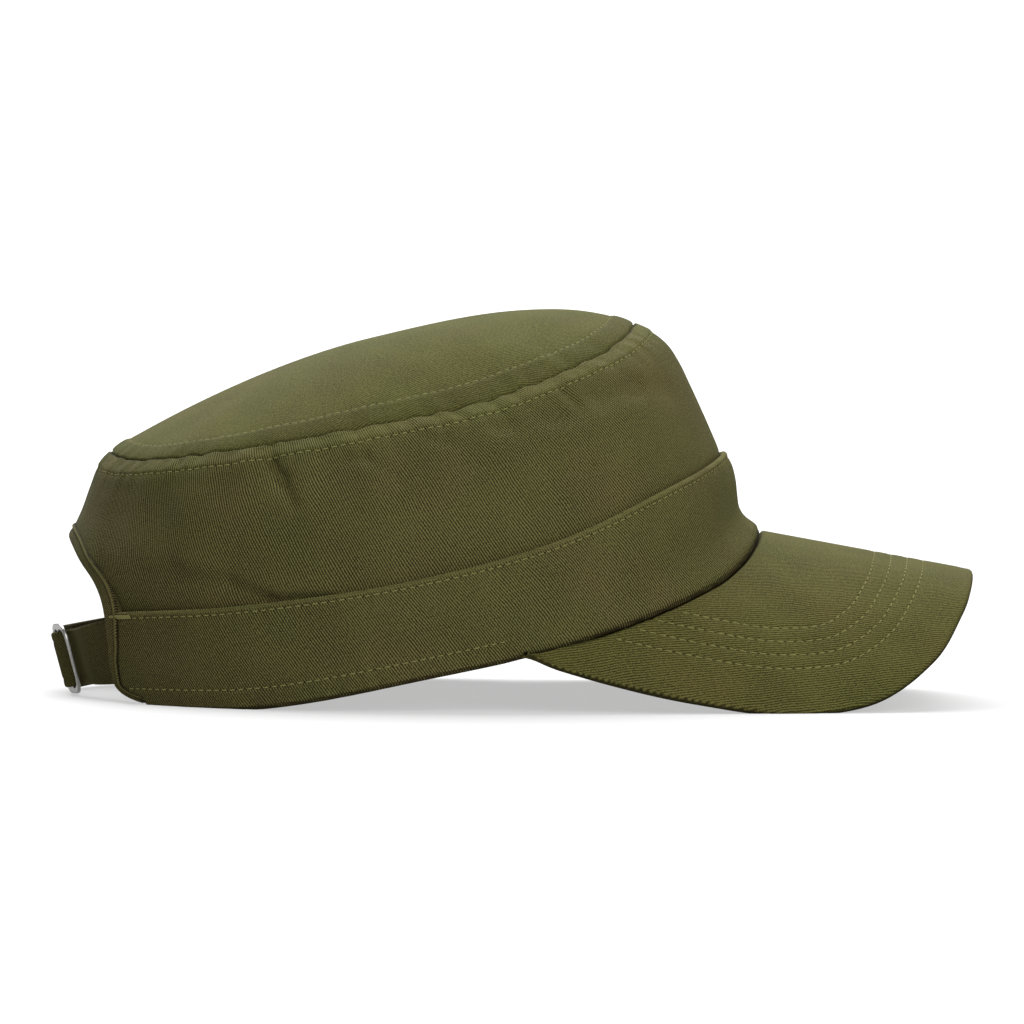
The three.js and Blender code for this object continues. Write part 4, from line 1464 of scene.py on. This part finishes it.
def twill(
    name, lean, dark, light, pitch=TWILL_PITCH, contrast=1.0,
    seams=(), lines=(), edged=False, greener=NOWHERE, back_shade_round=0,
):
    """Cotton twill with cords that lean by that many degrees from the cloth's long direction, and
    gathers across its seams, given by where they run up the cloth and how far the gathers reach. Lines
    are rows along the cloth painted darker, as painted shade in seams and under hems, or lighter, as
    painted highlights on raised cloth; an edged piece has its painted shade as a mark. The cloth is a
    little greener above one height, and has painted shade that darkens the back of a piece that goes
    round."""
    finish = Finish(name)
    uv = finish.node("ShaderNodeUVMap", {"uv_map": "cloth"})
    place = finish.node("ShaderNodeVectorMath", {"operation": "SCALE"}, {0: uv, "Scale": 1 / MM})
    up = finish.part(place, "Y")
    cords, floats, dash = weave(finish, place, lean, pitch)
    mottle, patches = finish.noise(place, 0.06, 3.0), finish.noise(place, 0.03, 1.0)
    beads = (floats - 0.5) * cords * BEAD_SHADE
    share = 0.5 + ((cords - 0.5) * CORD_SHADE + beads) * contrast
    share = share + (dash - 0.5) * DASH_SHADE + (mottle - 0.5) * MOTTLE_SHADE
    share = share + (finish.noise(place, 2.0, 1.0) - 0.5) * GRAIN_SHADE
    # painted shade along some rows of the cloth, and painted highlights where a row's shade is below 0
    for row, reach, shade in lines:
        share = share - near_row(up, row, reach) * shade
    # painted shade: the cloth is darker towards the back of a piece that goes round
    if back_shade_round:
        from_front = (finish.part(place, "X") - back_shade_round / 2).size()
        share = share - from_front.step(BACK_FROM * back_shade_round, BACK_TO * back_shade_round) * BACK_SHADE
    height = cords * (0.55 + dash * 0.45) + floats * 0.12
    # the edge mark is painted shade in seams and round rims, where it also flattens the cords
    if edged:
        edge = finish.marked("edge")
        share = share * (1 - edge * EDGE_FADES) - edge * EDGE_SHADE
        height = height * (1 - edge * EDGE_FLATTENS)
    plain = finish.blend(share.step(-0.15, 1.15), dark, light)
    greened = patches.step(0.4, 0.6) * 0.5 + up.step(greener - 9, greener) * 0.35
    green = finish.blend(greened, plain, GREENER, "MULTIPLY")
    brown = finish.blend(mottle.step(0.42, 0.66) * 0.5, green, BROWNER, "MULTIPLY")
    gathers = finish.noise(finish.vector("MULTIPLY", place, (0.4, 0.09, 1)), 1.0, 0.5)
    for row, reach in seams:
        height = height + gathers * near_row(up, row, reach) * GATHER_HEIGHT
    finish.bump(height, CORD_BUMP * min(1, contrast), CORD_DEPTH)
    finish.set(Base_Color=brown, Roughness=0.93 - cords * 0.08, Specular_IOR_Level=0.05)
    return finish.material


print("the gathers at a seam are", GATHER_HEIGHT, "times as deep as the cords")

# %% Twill for each piece
DARK, LIGHT = colour(32, 27, 12), colour(89, 85, 50)
wall_seams = [(WALL_TALL - TOPSTITCH_BELOW, 7)]
# painted shade in the top seam, and painted light on the doubled strip below it
wall_painted_shading = [(WALL_TALL, 0.45, 0.64), (WALL_TALL - 2.5, 4.5, -0.16)]
band_seams = [(BAND_TALL - FOLD_STITCH, 3.5), (HEM_STITCH, 5)]
wall_twill = twill(
    "wall_twill", -72, DARK, LIGHT, contrast=1.15, seams=wall_seams, lines=wall_painted_shading,
    greener=WALL_TALL - 4, back_shade_round=WALL_ROUND,
)
# painted shade along the hem's underside, and a painted highlight on the fold's ridge
band_painted_shading = [(0, 0.8, 0.8), (BAND_TALL, 0.5, -0.32)]
band_twill = twill(
    "band_twill", -65, DARK, LIGHT, pitch=0.72, contrast=1.15, seams=band_seams, lines=band_painted_shading,
    back_shade_round=band_gone[-1],
)
PEAK_DARK, PEAK_LIGHT = colour(34, 31, 12), colour(86, 83, 44)
peak_twill = twill("peak_twill", 25, PEAK_DARK, PEAK_LIGHT, pitch=0.74, contrast=0.78, edged=True)
TOP_DARK, TOP_LIGHT = colour(41, 39, 17), colour(87, 86, 47)
top_twill = twill("top_twill", 20, TOP_DARK, TOP_LIGHT, pitch=0.74, contrast=0.55, edged=True)
print("twill on the wall, band, peak and top")

# %% Tape, strap and thread
TAPE_PITCH, STRAP_PITCH = 0.56, 0.7
TAPE_DARK, TAPE_LIGHT = colour(22, 19, 9), colour(82, 77, 44)
# the strap is the cap's olive twill coloured darker, as painted shade behind the cap
STRAP_DARK, STRAP_LIGHT = colour(34, 30, 15), colour(67, 62, 33)
# painted shade at the tape's outer edge and beside its raised cord, and a painted highlight on the cord
tape_painted_shading = [
    (share * TAPE_WIDTH, wide, strength)
    for share, wide, strength in ((1.05, 0.3, 0.9), (0.92, 0.4, -0.9), (0.77, 0.35, 0.6))
]
tape_twill = twill("binding_tape", -62, TAPE_DARK, TAPE_LIGHT, TAPE_PITCH, 1.4, lines=tape_painted_shading)
strap_twill = twill("strap_twill", 50, STRAP_DARK, STRAP_LIGHT, STRAP_PITCH)


def thread_finish():
    finish = Finish("thread")
    # the thread's own colour, and near black on the hole cone as painted shade in the needle hole
    shade = finish.blend(finish.marked("hole"), colour(108, 105, 64), colour(16, 14, 6))
    finish.set(Base_Color=shade, Roughness=0.85, Specular_IOR_Level=0.08)
    return finish.material


thread_twist = thread_finish()
print("tape cords every", TAPE_PITCH, "mm")

# %% [markdown]
# ## Metal
#
# The slide is nickel-bright steel, tumbled after stamping. Faint streaks and a slightly uneven roughness
# keep it from looking like a mirror.

# %% The slide's finish


def stamped_metal():
    finish = Finish("slide_metal")
    place = finish.node("ShaderNodeTexCoord", None, None, "Object")
    streaks = finish.noise(finish.vector("MULTIPLY", place, (900, 900, 5000)), 1.0, 3.0)
    finish.set(Base_Color=finish.blend(streaks, colour(104, 104, 103), colour(160, 159, 154)))
    finish.set(Metallic=1.0, Roughness=0.26 + streaks * 0.16)
    finish.bump(streaks, 0.2, 0.03)
    return finish.material


slide_metal = stamped_metal()
print("finishes so far:", len(bpy.data.materials))

# %% Put the finishes on
FINISHES = {
    wall: (wall_twill, "wall_twill", "crown_wall"),
    top: (top_twill, "panel_twill", "top_panel"),
    band: (band_twill, "wall_twill", "band"),
    peak: (peak_twill, "peak_twill", "peak"),
    binding: (tape_twill, "binding_tape", "opening_binding"),
    strap: (strap_twill, "binding_tape", "strap"),
    slide: (slide_metal, "slide_metal", "slide"),
}
for piece, (finish, slot, node) in FINISHES.items():
    piece.data.materials.clear()
    piece.data.materials.append(finish)
    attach(piece, "root")
    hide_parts(node)
print("dressed:", ", ".join(piece.name for piece in FINISHES))

# %% [markdown]
# ## Rows of stitches
#
# Two rows hold the top seam, one on either side. The band has one row under its fold, ended by a bar
# tack next to the tape on each side, and one over its hem. The peak has four rows that run parallel to
# its edge and show on both of its faces.

# %% Rows at the top seam and on the band
ROUND_POINTS, ROW_POINTS, ROW_ENDS = 1500, 1400, 0.035
around = np.linspace(-math.pi, math.pi, ROUND_POINTS)
TACK_LOW, TACK_STITCH, TACK_PROUD = 0.9, 1.4, 0.25
TACK_FROM, TACK_THREADS, TACK_STEP = 0.01, 28, 0.0032


def wall_row():
    below = np.full_like(around, TOPSTITCH_BELOW)
    return finished_wall(around, below), outwards(smooth_wall, around, wall_level(TOPSTITCH_BELOW))


def panel_row():
    outs = 1 - np.linspace(0, 0.3, 400)
    inside = panel_inside(around[:, None], outs)
    out = np.array([np.interp(PANEL_STITCH, row, outs) for row in inside])
    return finished_panel(around, out), panel_up(around, out)


def band_row(up, start, end):
    turn = np.linspace(start, end, ROW_POINTS)
    return finished_band(turn, np.full_like(turn, up)), outwards(band_point, turn, band_level(up))


def band_rows_sewn():
    fold = BAND_TALL - FOLD_STITCH
    fold_end, hem_end = (band_end(band_level(up)) - ROW_ENDS for up in (fold, HEM_STITCH))
    hem_start = PEAK_TURN + 0.03
    return [
        band_row(fold, -fold_end, fold_end),
        band_row(HEM_STITCH, -hem_end, -hem_start),
        band_row(HEM_STITCH, hem_start, hem_end),
    ]


def tacks():
    """Short threads side by side across the fold's two ends, next to the tape."""
    up = BAND_TALL - TACK_LOW + np.array([0, TACK_STITCH / 4])
    start = band_end(band_level(up[0])) - TACK_FROM
    lines = []
    for turn in start - np.arange(TACK_THREADS) * TACK_STEP:
        for side in (-1, 1):
            here = np.full_like(up, side * turn)
            out = outwards(band_point, here, band_level(up))
            lines.append((finished_band(here, up) + out * TACK_PROUD, out))
    return lines


print("threads in a bar tack:", TACK_THREADS)

# %% Rows on the peak
ROW_CLEAR, UNDER_SUNK, PEAK_ROW_POINTS, PEAK_ROW_SHARES = 1.2, 0.2, 241, 60


def peak_rows():
    """Every row on the upper face, and then every row on the lower one."""
    turn = np.linspace(-PEAK_TURN, PEAK_TURN, PEAK_ROW_POINTS)[:, None]
    outs = np.linspace(0, 1, PEAK_ROW_SHARES)
    away = edge_distance(peak_point(turn, outs))
    upper, lower = [], []
    for row in PEAK_ROWS_IN:
        there = away[:, 0] > row + ROW_CLEAR
        out = np.array([np.interp(row, line[::-1], outs[::-1]) for line in away[there]])
        some = turn[there, 0]
        points, down = peak_point(some, out), peak_down(some, out)
        relief = peak_relief(some, np.full_like(some, row))
        upper.append((points - down * relief[:, None], -down))
        lower.append((points + down * (PEAK_THICK - UNDER_SUNK), down))
    return upper + lower


print("rows on the peak:", len(PEAK_ROWS_IN), "on each face")

# %% Sew the rows
SEWN = [
    ("stitches_top_seam", [wall_row(), panel_row()], STITCH, "panel_twill"),
    ("stitches_band", band_rows_sewn(), STITCH, "wall_twill"),
    ("stitches_peak", peak_rows(), PEAK_STITCH, "peak_twill"),
    ("stitches_tack", tacks(), TACK_STITCH, "wall_twill"),
]
for seed, (name, lines, stitch, slot) in enumerate(SEWN, 1):
    stitches = stitch_lines(name, lines, thread_twist, seed, stitch)
    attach(stitches, "root")
    print(name, len(stitches.data.polygons), "faces")
bpy.data.objects.remove(thread)

# %% [markdown]
# ## Table, light and camera
#
# The photograph is a plain studio shot: a white table that runs out of sight, and a long lens from the
# cap's right side. The main light is wide and comes from above and behind, so the cap's top is light and
# its shadow falls towards the camera. A softer one comes from the camera's side and ahead. A white table
# would throw too much light up at the cloth, so this one is grey and glows a little. It curves up far
# away all round, so no horizon shows from any side.

# %% Table
TABLE_FLAT, TABLE_RIM, TABLE_RISE, TABLE_SIDES = 3.5, 9.0, 1.0, 96
TABLE_GREY, GLOW_NEAR, GLOW_FAR = 0.23, 0.49, 0.74
GLOW_FROM, GLOW_TO = 0.5, 2.0


def grey(value):
    return (value, value, value, 1)


def table_paint():
    finish = Finish("table_paint")
    place = finish.node("ShaderNodeTexCoord", None, None, "Object")
    away = finish.node("ShaderNodeVectorMath", {"operation": "LENGTH"}, {0: place}, "Value")
    glow = finish.blend(away.step(GLOW_FROM, GLOW_TO), grey(GLOW_NEAR), grey(GLOW_FAR))
    finish.set(Base_Color=grey(TABLE_GREY), Roughness=0.9, Specular_IOR_Level=0.1)
    finish.set(Emission_Color=glow, Emission_Strength=1.0)
    return finish.material


def build_table():
    reach = np.concatenate([np.linspace(0, TABLE_FLAT, 8), np.linspace(TABLE_FLAT, TABLE_RIM, 24)[1:]])
    heights = TABLE_RISE * np.clip((reach - TABLE_FLAT) / (TABLE_RIM - TABLE_FLAT), 0, 1) ** 2
    sides = TABLE_SIDES
    angles = np.linspace(0, 2 * math.pi, sides + 1)[:-1]
    points = [(0, 0, 0)]
    for r, z in zip(reach[1:], heights[1:]):
        points += [(r * math.cos(a), r * math.sin(a), z) for a in angles]
    faces = [(0, 1 + k, 1 + (k + 1) % sides) for k in range(sides)]
    for start in range(1, len(points) - sides, sides):
        for k in range(sides):
            n = (k + 1) % sides
            faces.append((start + k, start + sides + k, start + sides + n, start + n))
    mesh = bpy.data.meshes.new("table")
    mesh.from_pydata(points, [], faces)
    mesh.polygons.foreach_set("use_smooth", [True] * len(mesh.polygons))
    mesh.materials.append(table_paint())
    return put_in_scene("table", mesh)


build_table()
print("the table is", 2 * TABLE_RIM, "m across")

# %% Light
OVERHEAD, KEY, SKY = 8.1, 3.3, 0.02


def sun(name, strength, width, azimuth, elevation):
    """Soft light from everywhere near a direction, given in degrees as for the views."""
    light = bpy.data.lights.new(name, "SUN")
    light.energy, light.angle = strength, math.radians(width)
    a, e = math.radians(azimuth), math.radians(elevation)
    towards = Vector((math.sin(a) * math.cos(e), -math.cos(a) * math.cos(e), math.sin(e)))
    obj = put_in_scene(name, light)
    obj.rotation_mode = "QUATERNION"
    obj.rotation_quaternion = towards.to_track_quat("Z", "Y")


sun("overhead", OVERHEAD, 60, 190, 56)
sun("key", KEY, 50, 31, 33)
world = bpy.data.worlds.new("studio")
world.use_nodes = True
background = world.node_tree.nodes["Background"]
background.inputs["Color"].default_value = (1, 1, 1, 1)
background.inputs["Strength"].default_value = SKY
bpy.context.scene.world = world
bpy.context.scene.view_settings.view_transform = "Standard"
print("lights:", len(bpy.data.lights))

# %% Camera
CAMERA_AWAY, CAMERA_UP, CAMERA_ROLL, CAMERA_LENS = 2.0, math.radians(2), math.radians(0.5), 243.0
AIM = Vector((0, 0, 0.0531))


def build_camera():
    lens = bpy.data.cameras.new("camera")
    lens.lens, lens.sensor_width = CAMERA_LENS, 36
    lens.clip_start, lens.clip_end = 0.05, 40
    obj = put_in_scene("camera", lens)
    back = Vector((0, -math.cos(CAMERA_UP), math.sin(CAMERA_UP)))
    turn = (-back).to_track_quat("-Z", "Y").to_matrix().to_4x4() @ Matrix.Rotation(CAMERA_ROLL, 4, "Z")
    obj.matrix_world = Matrix.Translation(AIM + back * CAMERA_AWAY) @ turn
    bpy.context.scene.camera = obj
    return obj


camera = build_camera()
print("camera at", [round(v, 3) for v in camera.matrix_world.translation])
